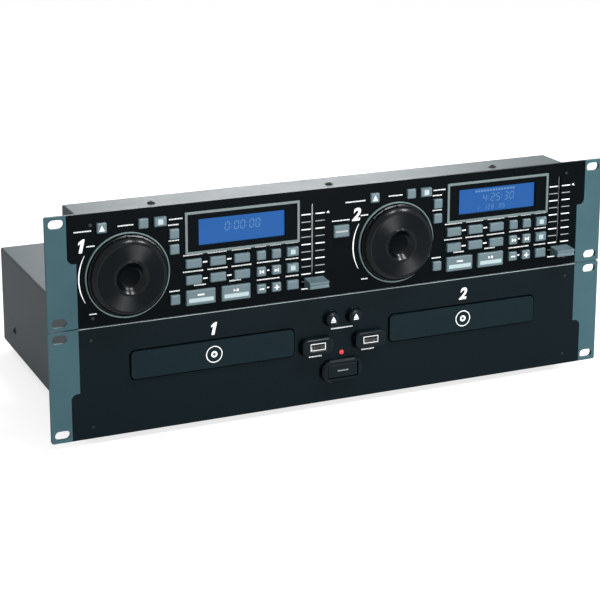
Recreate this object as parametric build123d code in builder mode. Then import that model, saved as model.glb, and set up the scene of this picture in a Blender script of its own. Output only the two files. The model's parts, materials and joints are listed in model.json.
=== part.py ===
"""Twin disc player for a 19-inch rack: a two-drive player with its separate control unit above it.

Frame: millimetres, +Z up, +X to the right as the user sees it, +Y into the rack. The origin is
under the middle of the whole set, on the plane that the player's rubber feet stand on.
Heights inside a unit are counted from the lower edge of that unit's own front panel, and depths
from the front face of the two metal panels, which lie in one plane.
"""
import os
from math import radians, sqrt, tan

from build123d import *

# ---------------------------------------------------------------- driving dimensions, millimetres
# Small round features are drawn with flats, which keeps their many copies light
SMALL_SIDES = 6
ROUND_SIDES = 10
BUTTON_SIDES = 16
WHEEL_SIDES = 32

# Rack panels, two units high each
PANEL_W = 482.6
PANEL_H = 88.1
PANEL_T = 3.0
PANEL_GAP = 0.8
PANEL_CORNER = 1.0
SLOT_SPACING_X = 465.1
SLOT_SPACING_Z = 76.2
SLOT_L = 12.0
SLOT_W = 7.0

# Housings
CASE_W = 428.0
CASE_BEND_R = 1.5
SHEET_T = 1.2
COVER_T = 1.0
PLAYER_DEPTH = 250.0
PLAYER_CASE_H = 83.5
PLAYER_CASE_LIFT = 3.0
BASE_SIDE_H = 34.0
CONTROLLER_DEPTH = 48.0
CONTROLLER_CASE_H = 81.0
CONTROLLER_CASE_LIFT = 3.1
CASE_FLANGE_W = 9.9

# Rubber feet
FOOT_H = 8.0
FOOT_R = 9.0
FOOT_TAPER = 8.0
FOOT_SPAN_X = 360.0
FOOT_FRONT_D = 32.0
FOOT_REAR_D = 222.0
SMALL_FOOT_R = 6.0
SMALL_FOOT_SPAN_X = 380.0
SMALL_FOOT_FRONT_D = 12.0
SMALL_FOOT_REAR_D = 38.0

# Fasteners
SCREW_HEAD_R = 3.2
SCREW_HEAD_H = 1.7
SCREW_HEAD_TAPER = 40.0
SCREW_SHANK_R = 1.45
SCREW_SHANK_L = 5.0
SCREW_HOLE_R = 1.55
COVER_SCREW_Z = 21.7
COVER_SCREW_FRONT_D = 42.0
COVER_SCREW_REAR_D = 211.0
TOP_SCREW_SPACING = 150.0
TOP_SCREW_D = 25.8
TOP_TAB_W = 14.0
TOP_TAB_D = 34.0
TOP_TAB_T = 1.5
PANEL_SCREW_R = 1.4
PANEL_SCREW_PROUD = 0.3
PLAYER_SCREW_X = 208.5
PLAYER_SCREW_LOW_Z = 9.0
PLAYER_SCREW_HIGH_Z = 78.5
CONTROLLER_SCREW_X = 206.5
CONTROLLER_SCREW_LOW_Z = 6.6
CONTROLLER_SCREW_HIGH_Z = 79.1

# Clearances
MOVING_GAP = 0.3
SEAT_GAP = 0.1
RUNNING_GAP = 0.05

# Disc trays and their doors
TRAY_X = 110.0
DOOR_Z = 54.0
DOOR_W = 135.0
DOOR_H = 22.0
DOOR_R = 3.5
DOOR_T = 3.5
DOOR_PROUD = 1.4
DOOR_GAP = 1.2
TRAY_W = 130.4
TRAY_H = 9.0
TRAY_LOW_Z = 44.7
TRAY_END_D = 178.0
TRAY_WALL = 2.4
TRAY_SKIN = 2.0
TRAY_RIB_SPACING = 42.0
RUNNER_W = 1.4
RUNNER_H = 2.0
RUNNER_LIFT = 2.3
DISC_R = 60.0
DISC_RECESS_GAP = 0.8
DISC_RECESS_DEPTH = 2.0
SMALL_DISC_R = 40.0
SMALL_DISC_DEPTH = 1.0
DISC_D = 76.0
TRAY_SLOT_W = 36.0
TRAY_SLOT_REACH = 72.0
TRAY_LEAD_GAP = 8.0

# Drive frames, with motor, clamp bridge and pickup rails
FRAME_WALL = 4.0
FRAME_LOW_Z = 28.0
FRAME_FLOOR_T = 2.0
FRAME_FRONT_D = 6.0
FRAME_END_D = 196.0
FRAME_SIDE_TOP_Z = 57.0
FRAME_LEG = 8.0
FRAME_LEG_INSET = 9.0
BRIDGE_LOW_Z = 61.0
BRIDGE_T = 2.0
BRIDGE_D = 30.0
CLAMP_R = 12.0
CLAMP_NECK_R = 8.5
CLAMP_NECK_GAP = 0.5
CLAMP_T = 1.7
CLAMP_DROP = 1.4
DECK_LOW_Z = 37.5
DECK_T = 1.5
DECK_W = 72.0
DECK_FRONT = 26.0
DECK_REAR = 80.0
MOTOR_R = 12.0
SPINDLE_SHAFT_R = 1.0
SPINDLE_TABLE_R = 15.0
SPINDLE_TABLE_T = 1.5
SPINDLE_TABLE_LIFT = 0.7
SPINDLE_BOSS_R = 7.2
SPINDLE_BOSS_H = 2.4
SPINDLE_BOSS_TAPER = 25.0
DECK_SHAFT_HOLE_R = 3.0
RAIL_R = 1.5
RAIL_SPACING = 24.0
RAIL_Z = 34.0
RAIL_FRONT = 13.0
RAIL_REAR = 72.0
RAIL_BLOCK_T = 3.0
RAIL_BLOCK_W = 34.0
PICKUP_W = 32.0
PICKUP_L = 18.0
PICKUP_H = 6.2
PICKUP_START = 16.5
PICKUP_LENS_R = 5.5
PICKUP_LENS_RISE = 3.4
PICKUP_EYE_R = 2.0
PICKUP_EYE_RISE = 0.6
PICKUP_SLOT_GAP = 2.0

# Eject buttons, power button, lamp and memory-stick ports
EJECT_SPACING = 20.0
EJECT_Z = 70.2
EJECT_R = 5.5
EJECT_PROUD = 6.0
EJECT_EDGE = 0.8
EJECT_FLANGE_R = 6.6
COLLAR_R = 6.9
COLLAR_PROUD = 1.6
COLLAR_WALL = 0.4
BUTTON_FLANGE_D = 4.3
BUTTON_FLANGE_T = 1.0
EJECT_TRAVEL = 1.5
POWER_X = -0.75
POWER_Z = 26.0
POWER_BEZEL_W = 36.5
POWER_BEZEL_H = 18.5
POWER_BEZEL_PROUD = 5.0
POWER_BEZEL_EDGE = 1.4
POWER_BUTTON_W = 26.4
POWER_BUTTON_H = 11.8
POWER_BUTTON_PROUD = 4.4
POWER_NECK_WALL = 1.4
POWER_FLANGE_LIP = 0.9
POWER_TRAVEL = 3.0
LED_Z = 39.8
LED_R = 2.0
LED_PROUD = 0.6
PORT_SPACING = 46.6
PORT_Z = 49.2
PORT_BEZEL_W = 27.0
PORT_BEZEL_H = 14.5
PORT_BEZEL_R = 5.0
PORT_BEZEL_PROUD = 6.3
PORT_BEZEL_EDGE = 1.0
PORT_NECK_WALL = 1.6
PORT_NECK_D = 4.0
PORT_W = 13.1
PORT_H = 5.7
PORT_WALL = 0.5
PORT_RECESS = 0.4
PORT_CAVITY_D = 8.6
TONGUE_W = 10.6
TONGUE_T = 1.7
TONGUE_LIFT = 1.1
TONGUE_SETBACK = 1.5

# Jog wheels
DECK_1_X = -178.5
DECK_PITCH = 226.0
JOG_Z = 37.4
JOG_RING_R = 33.4
JOG_RING_W = 1.1
JOG_RING_PROUD = 1.6
JOG_SKIRT_R = 31.5
JOG_SKIRT_H = 1.8
JOG_BACK_GAP = 1.0
JOG_BAND_R = 30.2
JOG_BEVEL = 3.0
JOG_PROUD = 10.2
JOG_HUB_R = 13.0
JOG_HUB_W = 1.1
JOG_HUB_RISE = 0.6
JOG_BOWL_DEPTH = 4.6
JOG_BOWL_FLOOR_R = 8.0
JOG_STUD_COUNT = 16
JOG_STUD_W = 2.2
JOG_STUD_REACH = 0.7
JOG_STUD_PROUD = 5.6
JOG_SHAFT_R = 3.0
JOG_CLIP_R = 4.5
JOG_CLIP_T = 1.0
CLIP_HOLE_GAP = 2.0
ENCODER_R = 14.0
ENCODER_BUSH_R = 5.0

# Pitch faders
FADER_X = 153.0
FADER_LOW_Z = 13.8
FADER_TRAVEL = 60.0
FADER_SLOT_W = 2.4
FADER_END_GAP = 0.8
FADER_BODY_W = 6.5
FADER_BODY_MARGIN = 1.9
FADER_STEM_W = 1.2
FADER_STEM_H = 4.0
FADER_STEM_D = 8.0
KNOB_W = 16.5
KNOB_H = 7.6
KNOB_PROUD = 13.2
KNOB_BACK_GAP = 1.2
KNOB_TIP_H = 5.2
KNOB_GROOVE_W = 1.6
KNOB_GROOVE_DEPTH = 0.8

# Displays
DISPLAY_X = 93.7
DISPLAY_Z = 64.2
DISPLAY_W = 95.0
DISPLAY_H = 33.5
DISPLAY_LINE = 2.0
DISPLAY_PROUD = 1.2
SCREEN_Z = 63.8
SCREEN_W = 72.3
SCREEN_H = 21.1
SCREEN_BORDER = 2.0
SCREEN_T = 2.0
HOLDER_WALL = 2.5

# Keys of one deck: places from the jog wheel's centre line, and cap sizes
KEY_PROUD = 2.4
KEY_EDGE = 0.6
KEY_FLANGE_LIP = 0.9
KEY_FLANGE_T = 1.0
KEY_TRAVEL = 1.0
SWITCH_SIZE = 6.0
SMALL_KEY = (7.8, 7.8)
LOW_KEY = (7.8, 7.4)
LIT_KEY = (10.0, 7.6)
WIDE_KEY = (13.1, 7.2)
BIG_KEY = (24.2, 12.1)
RELAY_KEY = (13.6, 10.0)
TOP_ROW_Z = 76.3
TIME_Z = 65.6
CONTINUE_Z = 53.3
UPPER_ROW_Z = 40.3
MIDDLE_ROW_Z = 27.2
LOWER_ROW_Z = 13.2
EJECT_KEY_X = -19.7
SOURCE_KEY_X = 12.9
SCRATCH_KEY_X = 26.3
SIDE_KEY_X = 37.2
WIDE_KEY_X = 52.5
WIDE_KEY_PITCH = 19.9
CUE_KEY_X = 57.9
PLAY_KEY_X = 87.0
TRACK_KEY_X = 108.4
TRACK_KEY_PITCH = 12.7
PITCH_KEY_X = 135.0
RELAY_X = -1.4
RELAY_Z = 52.2

# Circuit boards and what they carry
BOARD_T = 1.6
FRONT_BOARD_D = 12.0
CONTROL_BOARD_W = 404.0
CONTROL_BOARD_LOW_Z = 6.5
CONTROL_BOARD_HIGH_Z = 80.0
FRONT_BOARD_W = 70.0
FRONT_BOARD_LOW_Z = 12.0
FRONT_BOARD_HIGH_Z = 80.0
STUD_R = 3.0
STUD_INSET = 4.0
MAIN_BOARD_Z = 10.0
MAIN_BOARD_X = 95.0
MAIN_BOARD_W = 210.0
MAIN_BOARD_FRONT_D = 201.0
CHIP_SIZE = 16.0
CHIP_T = 2.0
CHIP_SPACING = 60.0
CHIP_D = 216.0
SUPPLY_X = -105.0
SUPPLY_W = 96.0
SUPPLY_D = 42.0
TRANSFORMER_W = 42.0
TRANSFORMER_D = 34.0
TRANSFORMER_H = 36.0
TRANSFORMER_OFFSET = -20.0
CAPACITOR_R = 8.0
CAPACITOR_H = 26.0
CAPACITOR_OFFSET = 28.0
CAPACITOR_PITCH = 20.0

# Rear sockets
REAR_MARGIN = 1.5
PHONO_FIRST_X = 70.0
PHONO_PITCH_X = 34.0
PHONO_PITCH_Z = 14.0
PHONO_COUNT = 3
PHONO_BARREL_R = 4.15
PHONO_BARREL_L = 9.0
PHONO_HOLE_R = 1.6
PHONO_BLOCK_W = 11.0
PHONO_BLOCK_D = 12.0
DIN_R = 5.6
DIN_FACE_R = 4.5
DIN_RECESS = 3.0
DIN_KEY_W = 2.2
DIN_BLOCK = 14.0
DIN_BLOCK_D = 12.0
DIN_X = 18.0
DIN_PITCH = 24.0
DIN_PROUD = 0.6
CONTROLLER_DIN_X = 140.0
CONTROLLER_DIN_Z = 22.0
INLET_X = -178.0
INLET_Z = 48.0
INLET_W = 31.0
INLET_H = 24.0
INLET_FLANGE_T = 2.0
INLET_BODY_W = 27.4
INLET_BODY_H = 20.4
INLET_BODY_D = 22.0
INLET_CAVITY_W = 24.4
INLET_CAVITY_H = 16.6
INLET_CAVITY_D = 16.0
INLET_PIN_W = 2.0
INLET_PIN_H = 4.0
INLET_PIN_L = 14.0
INLET_PIN_SPACING = 7.0
INLET_PIN_Z = 2.6

# ---------------------------------------------------------------- places that follow from them
PLAYER_Z = FOOT_H - PLAYER_CASE_LIFT
CONTROLLER_Z = PLAYER_Z + PANEL_H + PANEL_GAP
PLAYER_CASE_TOP_Z = FOOT_H + PLAYER_CASE_H
CONTROLLER_CASE_LOW_Z = CONTROLLER_Z + CONTROLLER_CASE_LIFT
CONTROLLER_CASE_TOP_Z = CONTROLLER_CASE_LOW_Z + CONTROLLER_CASE_H
BASE_FLOOR_Z = FOOT_H + SHEET_T
COVER_INSIDE_X = CASE_W / 2 - COVER_T
REAR_WALL_D = PLAYER_DEPTH - SHEET_T
PANEL_BACK_D = PANEL_T
FRONT_Y = (KNOB_PROUD - PLAYER_DEPTH - PHONO_BARREL_L) / 2
DECK_2_X = DECK_1_X + DECK_PITCH
TRAY_XS = (-TRAY_X, TRAY_X)
TRAY_TOP_Z = TRAY_LOW_Z + TRAY_H
TRAY_FRONT_D = DOOR_T - DOOR_PROUD
FRAME_INSIDE_W = TRAY_W + 2 * (MOVING_GAP + SEAT_GAP)
FRAME_OUTSIDE_W = FRAME_INSIDE_W + 2 * FRAME_WALL
FRAME_FLOOR_TOP_Z = FRAME_LOW_Z + FRAME_FLOOR_T


def at_depth(depth):
    """Y of a point at this depth behind the front face of the panels."""
    return FRONT_Y + depth


def front_plane(depth):
    """Upright plane at a depth, seen from the front: X to the right, height upward."""
    return Plane.XZ.offset(-at_depth(depth))


def player_height(height):
    """Z of a height counted from the lower edge of the player's panel."""
    return PLAYER_Z + height


def deck_height(height):
    """Z of a height counted from the lower edge of the control unit's panel."""
    return CONTROLLER_Z + height


def round_off(outline, radius):
    """Round the corners of an outline of rectangles, with three flats each."""
    chamfer(outline.vertices(), radius * (2 - sqrt(2)))
    half_side = radius * tan(radians(45 / 4))
    chamfer(outline.vertices(), radius * (sqrt(2) - 1) - half_side)


def save(piece, name):
    """Label one finished piece and write its STEP file."""
    piece.part.label = name
    export_step(piece.part, f"parts/{name}.step")


# ---------------------------------------------------------------- where the controls lie
EJECT_PLACES = [(side * EJECT_SPACING / 2, player_height(EJECT_Z)) for side in (-1, 1)]
PORT_PLACES = [(side * PORT_SPACING / 2, player_height(PORT_Z)) for side in (-1, 1)]
DOOR_PLACES = [(x, player_height(DOOR_Z)) for x in TRAY_XS]
POWER_PLACE = (POWER_X, player_height(POWER_Z))
LED_PLACE = (0, player_height(LED_Z))
PLAYER_SCREW_PLACES = [
    (side * PLAYER_SCREW_X, player_height(z))
    for side in (-1, 1)
    for z in (PLAYER_SCREW_LOW_Z, PLAYER_SCREW_HIGH_Z)
]
CONTROLLER_SCREW_PLACES = [
    (side * CONTROLLER_SCREW_X, deck_height(z))
    for side in (-1, 1)
    for z in (CONTROLLER_SCREW_LOW_Z, CONTROLLER_SCREW_HIGH_Z)
]
TOP_SCREW_XS = (-TOP_SCREW_SPACING, 0, TOP_SCREW_SPACING)
STUD_X = FRONT_BOARD_W / 2 - STUD_INSET
STUD_PLACES = [
    (side * STUD_X, player_height(z))
    for side in (-1, 1)
    for z in (FRONT_BOARD_LOW_Z + STUD_INSET, FRONT_BOARD_HIGH_Z - STUD_INSET)
]
WIDE_KEY_XS = [WIDE_KEY_X + column * WIDE_KEY_PITCH for column in range(3)]
TRACK_KEY_XS = [TRACK_KEY_X + column * TRACK_KEY_PITCH for column in range(2)]

# The keys of one deck, by the row or kind that they belong to: (x, height, cap size)
KEY_GROUPS = {
    "cue_button": [(CUE_KEY_X, LOWER_ROW_Z, BIG_KEY)],
    "play_button": [(PLAY_KEY_X, LOWER_ROW_Z, BIG_KEY)],
    "eject_key": [(EJECT_KEY_X, TOP_ROW_Z, SMALL_KEY)],
    "scratch_key": [(SCRATCH_KEY_X, TOP_ROW_Z, LIT_KEY)],
    "mode_keys": [
        (SOURCE_KEY_X, TOP_ROW_Z, SMALL_KEY),
        (SIDE_KEY_X, TIME_Z, SMALL_KEY),
        (SIDE_KEY_X, CONTINUE_Z, SMALL_KEY),
        (SIDE_KEY_X, LOWER_ROW_Z, SMALL_KEY),
    ],
    "loop_keys": [(x, z, WIDE_KEY) for z in (UPPER_ROW_Z, MIDDLE_ROW_Z) for x in WIDE_KEY_XS],
    "track_keys": [(x, z, LOW_KEY) for z in (UPPER_ROW_Z, MIDDLE_ROW_Z) for x in TRACK_KEY_XS],
    "bend_keys": [(x, LOWER_ROW_Z, LOW_KEY) for x in TRACK_KEY_XS],
    "pitch_keys": [(PITCH_KEY_X, z, LIT_KEY) for z in (UPPER_ROW_Z, MIDDLE_ROW_Z, LOWER_ROW_Z)],
}


def deck_keys(deck_x, group):
    """The keys of one group, placed on the deck whose jog wheel is at deck_x."""
    return [(deck_x + x, deck_height(z), size) for x, z, size in KEY_GROUPS[group]]


RELAY_KEYS = [(RELAY_X, deck_height(RELAY_Z), RELAY_KEY)]
ALL_KEYS = RELAY_KEYS + [
    key for deck_x in (DECK_1_X, DECK_2_X) for group in KEY_GROUPS for key in deck_keys(deck_x, group)
]


# ---------------------------------------------------------------- front panels
# Everything that passes through the player's panel
power_neck_w = POWER_BUTTON_W + 2 * (MOVING_GAP + POWER_NECK_WALL)
power_neck_h = POWER_BUTTON_H + 2 * (MOVING_GAP + POWER_NECK_WALL)
port_neck_w = PORT_W + 2 * (MOVING_GAP + PORT_NECK_WALL)
port_neck_h = PORT_H + 2 * (MOVING_GAP + PORT_NECK_WALL)
collar_neck_r = EJECT_R + MOVING_GAP + COLLAR_WALL
with BuildSketch(front_plane(PANEL_BACK_D)) as player_openings:
    with Locations(*DOOR_PLACES):
        RectangleRounded(DOOR_W + 2 * DOOR_GAP, DOOR_H + 2 * DOOR_GAP, DOOR_R + DOOR_GAP)
    with Locations(*EJECT_PLACES):
        RegularPolygon(collar_neck_r + SEAT_GAP, BUTTON_SIDES)
    with Locations(*PORT_PLACES):
        Rectangle(port_neck_w + 2 * SEAT_GAP, port_neck_h + 2 * SEAT_GAP)
    with Locations(POWER_PLACE):
        Rectangle(power_neck_w + 2 * SEAT_GAP, power_neck_h + 2 * SEAT_GAP)
    with Locations(LED_PLACE):
        RegularPolygon(LED_R + SEAT_GAP, ROUND_SIDES)
    with Locations(*PLAYER_SCREW_PLACES):
        RegularPolygon(PANEL_SCREW_R, SMALL_SIDES)

# Everything that passes through the control unit's panel
with BuildSketch(front_plane(PANEL_BACK_D)) as controller_openings:
    for key_x, key_z, (cap_w, cap_h) in ALL_KEYS:
        with Locations((key_x, key_z)):
            Rectangle(cap_w + 2 * MOVING_GAP, cap_h + 2 * MOVING_GAP)
    for deck_x in (DECK_1_X, DECK_2_X):
        with Locations((deck_x, deck_height(JOG_Z))):
            RegularPolygon(ENCODER_BUSH_R + SEAT_GAP, ROUND_SIDES)
        with Locations((deck_x + DISPLAY_X, deck_height(SCREEN_Z))):
            Rectangle(SCREEN_W, SCREEN_H)
        with Locations((deck_x + FADER_X, deck_height(FADER_LOW_Z + FADER_TRAVEL / 2))):
            Rectangle(FADER_SLOT_W, FADER_TRAVEL + FADER_STEM_H + 2 * FADER_END_GAP)
    with Locations(*CONTROLLER_SCREW_PLACES):
        RegularPolygon(PANEL_SCREW_R, SMALL_SIDES)


def make_plate(bottom_z, openings):
    """Rack plate with chamfered corners, four fixing slots and one unit's openings."""
    with BuildPart() as plate:
        with BuildSketch(front_plane(PANEL_BACK_D)) as outline:
            with Locations((0, bottom_z + PANEL_H / 2)):
                Rectangle(PANEL_W, PANEL_H)
            chamfer(outline.vertices(), PANEL_CORNER)
            with Locations((0, bottom_z + PANEL_H / 2)):
                with GridLocations(SLOT_SPACING_X, SLOT_SPACING_Z, 2, 2):
                    SlotOverall(SLOT_L, SLOT_W, mode=Mode.SUBTRACT)
        extrude(amount=PANEL_T)
        extrude(openings.sketch, amount=PANEL_T, mode=Mode.SUBTRACT)
    return plate


player_plate = make_plate(PLAYER_Z, player_openings)
controller_plate = make_plate(CONTROLLER_Z, controller_openings)

with BuildPart() as player_front_panel:
    add(player_plate.part)
    # Studs that carry the small board behind the buttons and ports
    with BuildSketch(front_plane(FRONT_BOARD_D)):
        with Locations(*STUD_PLACES):
            RegularPolygon(STUD_R, SMALL_SIDES)
    extrude(amount=FRONT_BOARD_D - PANEL_BACK_D)

with BuildPart() as controller_front_panel:
    add(controller_plate.part)
    # Tabs under the housing's top, tapped for its three screws
    with BuildSketch(Plane.XY.offset(CONTROLLER_CASE_TOP_Z - SHEET_T - TOP_TAB_T)):
        for tab_x in TOP_SCREW_XS:
            with Locations((tab_x, at_depth((PANEL_BACK_D + TOP_TAB_D) / 2))):
                Rectangle(TOP_TAB_W, TOP_TAB_D - PANEL_BACK_D)
            with Locations((tab_x, at_depth(TOP_SCREW_D))):
                RegularPolygon(SCREW_SHANK_R, SMALL_SIDES, mode=Mode.SUBTRACT)
    extrude(amount=TOP_TAB_T)

# ---------------------------------------------------------------- the player's housing
COVER_SCREW_DS = (COVER_SCREW_FRONT_D, COVER_SCREW_REAR_D)
PHONO_XS = [PHONO_FIRST_X + column * PHONO_PITCH_X for column in range(PHONO_COUNT)]
DIN_XS = (DIN_X, DIN_X - DIN_PITCH)
board_top_z = player_height(MAIN_BOARD_Z + BOARD_T)
PHONO_ZS = [board_top_z + PHONO_PITCH_Z * (row + 1 / 2) for row in range(2)]
DIN_Z = board_top_z + DIN_BLOCK / 2

# Folded base: floor with two low sides, a front wall open behind the controls, a rear wall
with BuildPart() as player_base:
    with BuildSketch(front_plane(PLAYER_DEPTH)):
        with Locations((0, FOOT_H + BASE_SIDE_H / 2)):
            Rectangle(2 * COVER_INSIDE_X, BASE_SIDE_H)
        with Locations((0, BASE_FLOOR_Z + BASE_SIDE_H / 2)):
            Rectangle(2 * (COVER_INSIDE_X - SHEET_T), BASE_SIDE_H, mode=Mode.SUBTRACT)
    extrude(amount=PLAYER_DEPTH - PANEL_BACK_D)
    wall_h = PLAYER_CASE_H - COVER_T
    with BuildSketch(front_plane(PLAYER_DEPTH)):
        with Locations((0, FOOT_H + wall_h / 2)):
            Rectangle(2 * COVER_INSIDE_X, wall_h)
        with Locations(*[(x, z) for x in PHONO_XS for z in PHONO_ZS]):
            RegularPolygon(PHONO_BARREL_R + SEAT_GAP, ROUND_SIDES, mode=Mode.SUBTRACT)
        with Locations(*[(x, DIN_Z) for x in DIN_XS]):
            RegularPolygon(DIN_R + SEAT_GAP, ROUND_SIDES, mode=Mode.SUBTRACT)
        with Locations((INLET_X, player_height(INLET_Z))):
            Rectangle(INLET_BODY_W + 2 * SEAT_GAP, INLET_BODY_H + 2 * SEAT_GAP, mode=Mode.SUBTRACT)
    extrude(amount=SHEET_T)
    window_low_z = player_height(FRAME_LOW_Z) - DOOR_GAP
    window_high_z = player_height(DOOR_Z + DOOR_H / 2 + 2 * DOOR_GAP)
    window_w = 2 * TRAY_X + FRAME_OUTSIDE_W + 2 * DOOR_GAP
    board_window_w = FRONT_BOARD_W + 2 * DOOR_GAP
    board_window_h = FRONT_BOARD_HIGH_Z - FRONT_BOARD_LOW_Z + 2 * DOOR_GAP
    with BuildSketch(front_plane(PANEL_BACK_D + SHEET_T)):
        with Locations((0, FOOT_H + wall_h / 2)):
            Rectangle(2 * COVER_INSIDE_X, wall_h)
        with Locations((0, (window_low_z + window_high_z) / 2)):
            Rectangle(window_w, window_high_z - window_low_z, mode=Mode.SUBTRACT)
        with Locations((0, player_height((FRONT_BOARD_LOW_Z + FRONT_BOARD_HIGH_Z) / 2))):
            Rectangle(board_window_w, board_window_h, mode=Mode.SUBTRACT)
        with Locations(*PLAYER_SCREW_PLACES):
            RegularPolygon(PANEL_SCREW_R, SMALL_SIDES, mode=Mode.SUBTRACT)
    extrude(amount=SHEET_T)
    with BuildSketch(Plane.YZ.offset(-CASE_W / 2)):
        with Locations(*[(at_depth(screw_d), player_height(COVER_SCREW_Z)) for screw_d in COVER_SCREW_DS]):
            RegularPolygon(SCREW_SHANK_R, SMALL_SIDES)
    extrude(amount=CASE_W, mode=Mode.SUBTRACT)

# Folded cover: top and both sides in one sheet
with BuildPart() as player_cover:
    with BuildSketch(front_plane(PLAYER_DEPTH)) as cover_profile:
        with Locations((0, FOOT_H + PLAYER_CASE_H / 2)):
            Rectangle(CASE_W, PLAYER_CASE_H)
        fillet(cover_profile.vertices().group_by(Axis.Y)[-1], CASE_BEND_R)
        with Locations((0, FOOT_H + (PLAYER_CASE_H - COVER_T) / 2)):
            Rectangle(2 * COVER_INSIDE_X, PLAYER_CASE_H - COVER_T, mode=Mode.SUBTRACT)
    extrude(amount=PLAYER_DEPTH - PANEL_BACK_D)
    with BuildSketch(Plane.YZ.offset(-CASE_W / 2)):
        with Locations(*[(at_depth(screw_d), player_height(COVER_SCREW_Z)) for screw_d in COVER_SCREW_DS]):
            RegularPolygon(SCREW_HOLE_R, SMALL_SIDES)
    extrude(amount=CASE_W, mode=Mode.SUBTRACT)

# ---------------------------------------------------------------- the control unit's housing
CONTROLLER_DIN_XS = (CONTROLLER_DIN_X, CONTROLLER_DIN_X - DIN_PITCH)
case_middle_z = (CONTROLLER_CASE_LOW_Z + CONTROLLER_CASE_TOP_Z) / 2
with BuildPart() as controller_case:
    with BuildSketch(front_plane(CONTROLLER_DEPTH)) as case_profile:
        with Locations((0, case_middle_z)):
            Rectangle(CASE_W, CONTROLLER_CASE_H)
        fillet(case_profile.vertices(), CASE_BEND_R)
    extrude(amount=CONTROLLER_DEPTH - PANEL_BACK_D)
    with BuildSketch(front_plane(CONTROLLER_DEPTH - SHEET_T)):
        with Locations((0, case_middle_z)):
            Rectangle(CASE_W - 2 * SHEET_T, CONTROLLER_CASE_H - 2 * SHEET_T)
    extrude(amount=CONTROLLER_DEPTH - SHEET_T - PANEL_BACK_D, mode=Mode.SUBTRACT)
    # Side flanges that the panel is screwed to
    with BuildSketch(front_plane(PANEL_BACK_D + SHEET_T)):
        for side in (-1, 1):
            with Locations((side * (CASE_W - CASE_FLANGE_W) / 2, case_middle_z)):
                Rectangle(CASE_FLANGE_W, CONTROLLER_CASE_H - 2 * CASE_BEND_R)
        with Locations(*CONTROLLER_SCREW_PLACES):
            RegularPolygon(PANEL_SCREW_R, SMALL_SIDES, mode=Mode.SUBTRACT)
    extrude(amount=SHEET_T)
    with BuildSketch(Plane.XY.offset(CONTROLLER_CASE_TOP_Z)):
        with Locations(*[(x, at_depth(TOP_SCREW_D)) for x in TOP_SCREW_XS]):
            RegularPolygon(SCREW_HOLE_R, SMALL_SIDES)
    extrude(amount=-SHEET_T, mode=Mode.SUBTRACT)
    with BuildSketch(front_plane(CONTROLLER_DEPTH)):
        with Locations(*[(x, deck_height(CONTROLLER_DIN_Z)) for x in CONTROLLER_DIN_XS]):
            RegularPolygon(DIN_R + SEAT_GAP, ROUND_SIDES)
    extrude(amount=SHEET_T, mode=Mode.SUBTRACT)

# ---------------------------------------------------------------- screws and feet
# Low-headed screw, its shank below the level that its head is set on
with BuildPart() as one_screw:
    with BuildSketch(Plane.XY):
        RegularPolygon(SCREW_HEAD_R, ROUND_SIDES)
    extrude(amount=SCREW_HEAD_H, taper=SCREW_HEAD_TAPER)
    with BuildSketch(Plane.XY):
        RegularPolygon(SCREW_SHANK_R, SMALL_SIDES)
    extrude(amount=-SCREW_SHANK_L)

with BuildPart() as case_screws:
    for side in (-1, 1):
        for screw_d in COVER_SCREW_DS:
            head_seat = Plane(
                origin=(side * CASE_W / 2, at_depth(screw_d), player_height(COVER_SCREW_Z)),
                x_dir=(0, 1, 0),
                z_dir=(side, 0, 0),
            )
            with Locations(head_seat):
                add(one_screw.part)
    with Locations(*[(x, at_depth(TOP_SCREW_D), CONTROLLER_CASE_TOP_Z) for x in TOP_SCREW_XS]):
        add(one_screw.part)

# Small screws through each panel into the flange behind
with BuildPart() as panel_screws:
    with BuildSketch(front_plane(PANEL_BACK_D + SHEET_T)):
        with Locations(*PLAYER_SCREW_PLACES, *CONTROLLER_SCREW_PLACES):
            RegularPolygon(PANEL_SCREW_R, SMALL_SIDES)
    extrude(amount=PANEL_BACK_D + SHEET_T + PANEL_SCREW_PROUD)

with BuildPart() as rubber_feet:
    with BuildSketch(Plane.XY.offset(FOOT_H)):
        for foot_d in (FOOT_FRONT_D, FOOT_REAR_D):
            with Locations((-FOOT_SPAN_X / 2, at_depth(foot_d)), (FOOT_SPAN_X / 2, at_depth(foot_d))):
                RegularPolygon(FOOT_R, BUTTON_SIDES)
    extrude(amount=-FOOT_H, taper=FOOT_TAPER)
    with BuildSketch(Plane.XY.offset(PLAYER_CASE_TOP_Z)):
        for foot_d in (SMALL_FOOT_FRONT_D, SMALL_FOOT_REAR_D):
            with Locations(
                (-SMALL_FOOT_SPAN_X / 2, at_depth(foot_d)), (SMALL_FOOT_SPAN_X / 2, at_depth(foot_d))
            ):
                RegularPolygon(SMALL_FOOT_R, ROUND_SIDES)
    extrude(amount=CONTROLLER_CASE_LOW_Z - PLAYER_CASE_TOP_Z)

# ---------------------------------------------------------------- disc trays and doors
tray_low_z = player_height(TRAY_LOW_Z)
tray_top_z = player_height(TRAY_TOP_Z)
disc_y = at_depth(DISC_D)


def tray_block(x, front_d, end_d, width):
    """Draw a level rectangle between two depths, centred on x."""
    with Locations((x, at_depth((front_d + end_d) / 2))):
        Rectangle(width, end_d - front_d)


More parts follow.
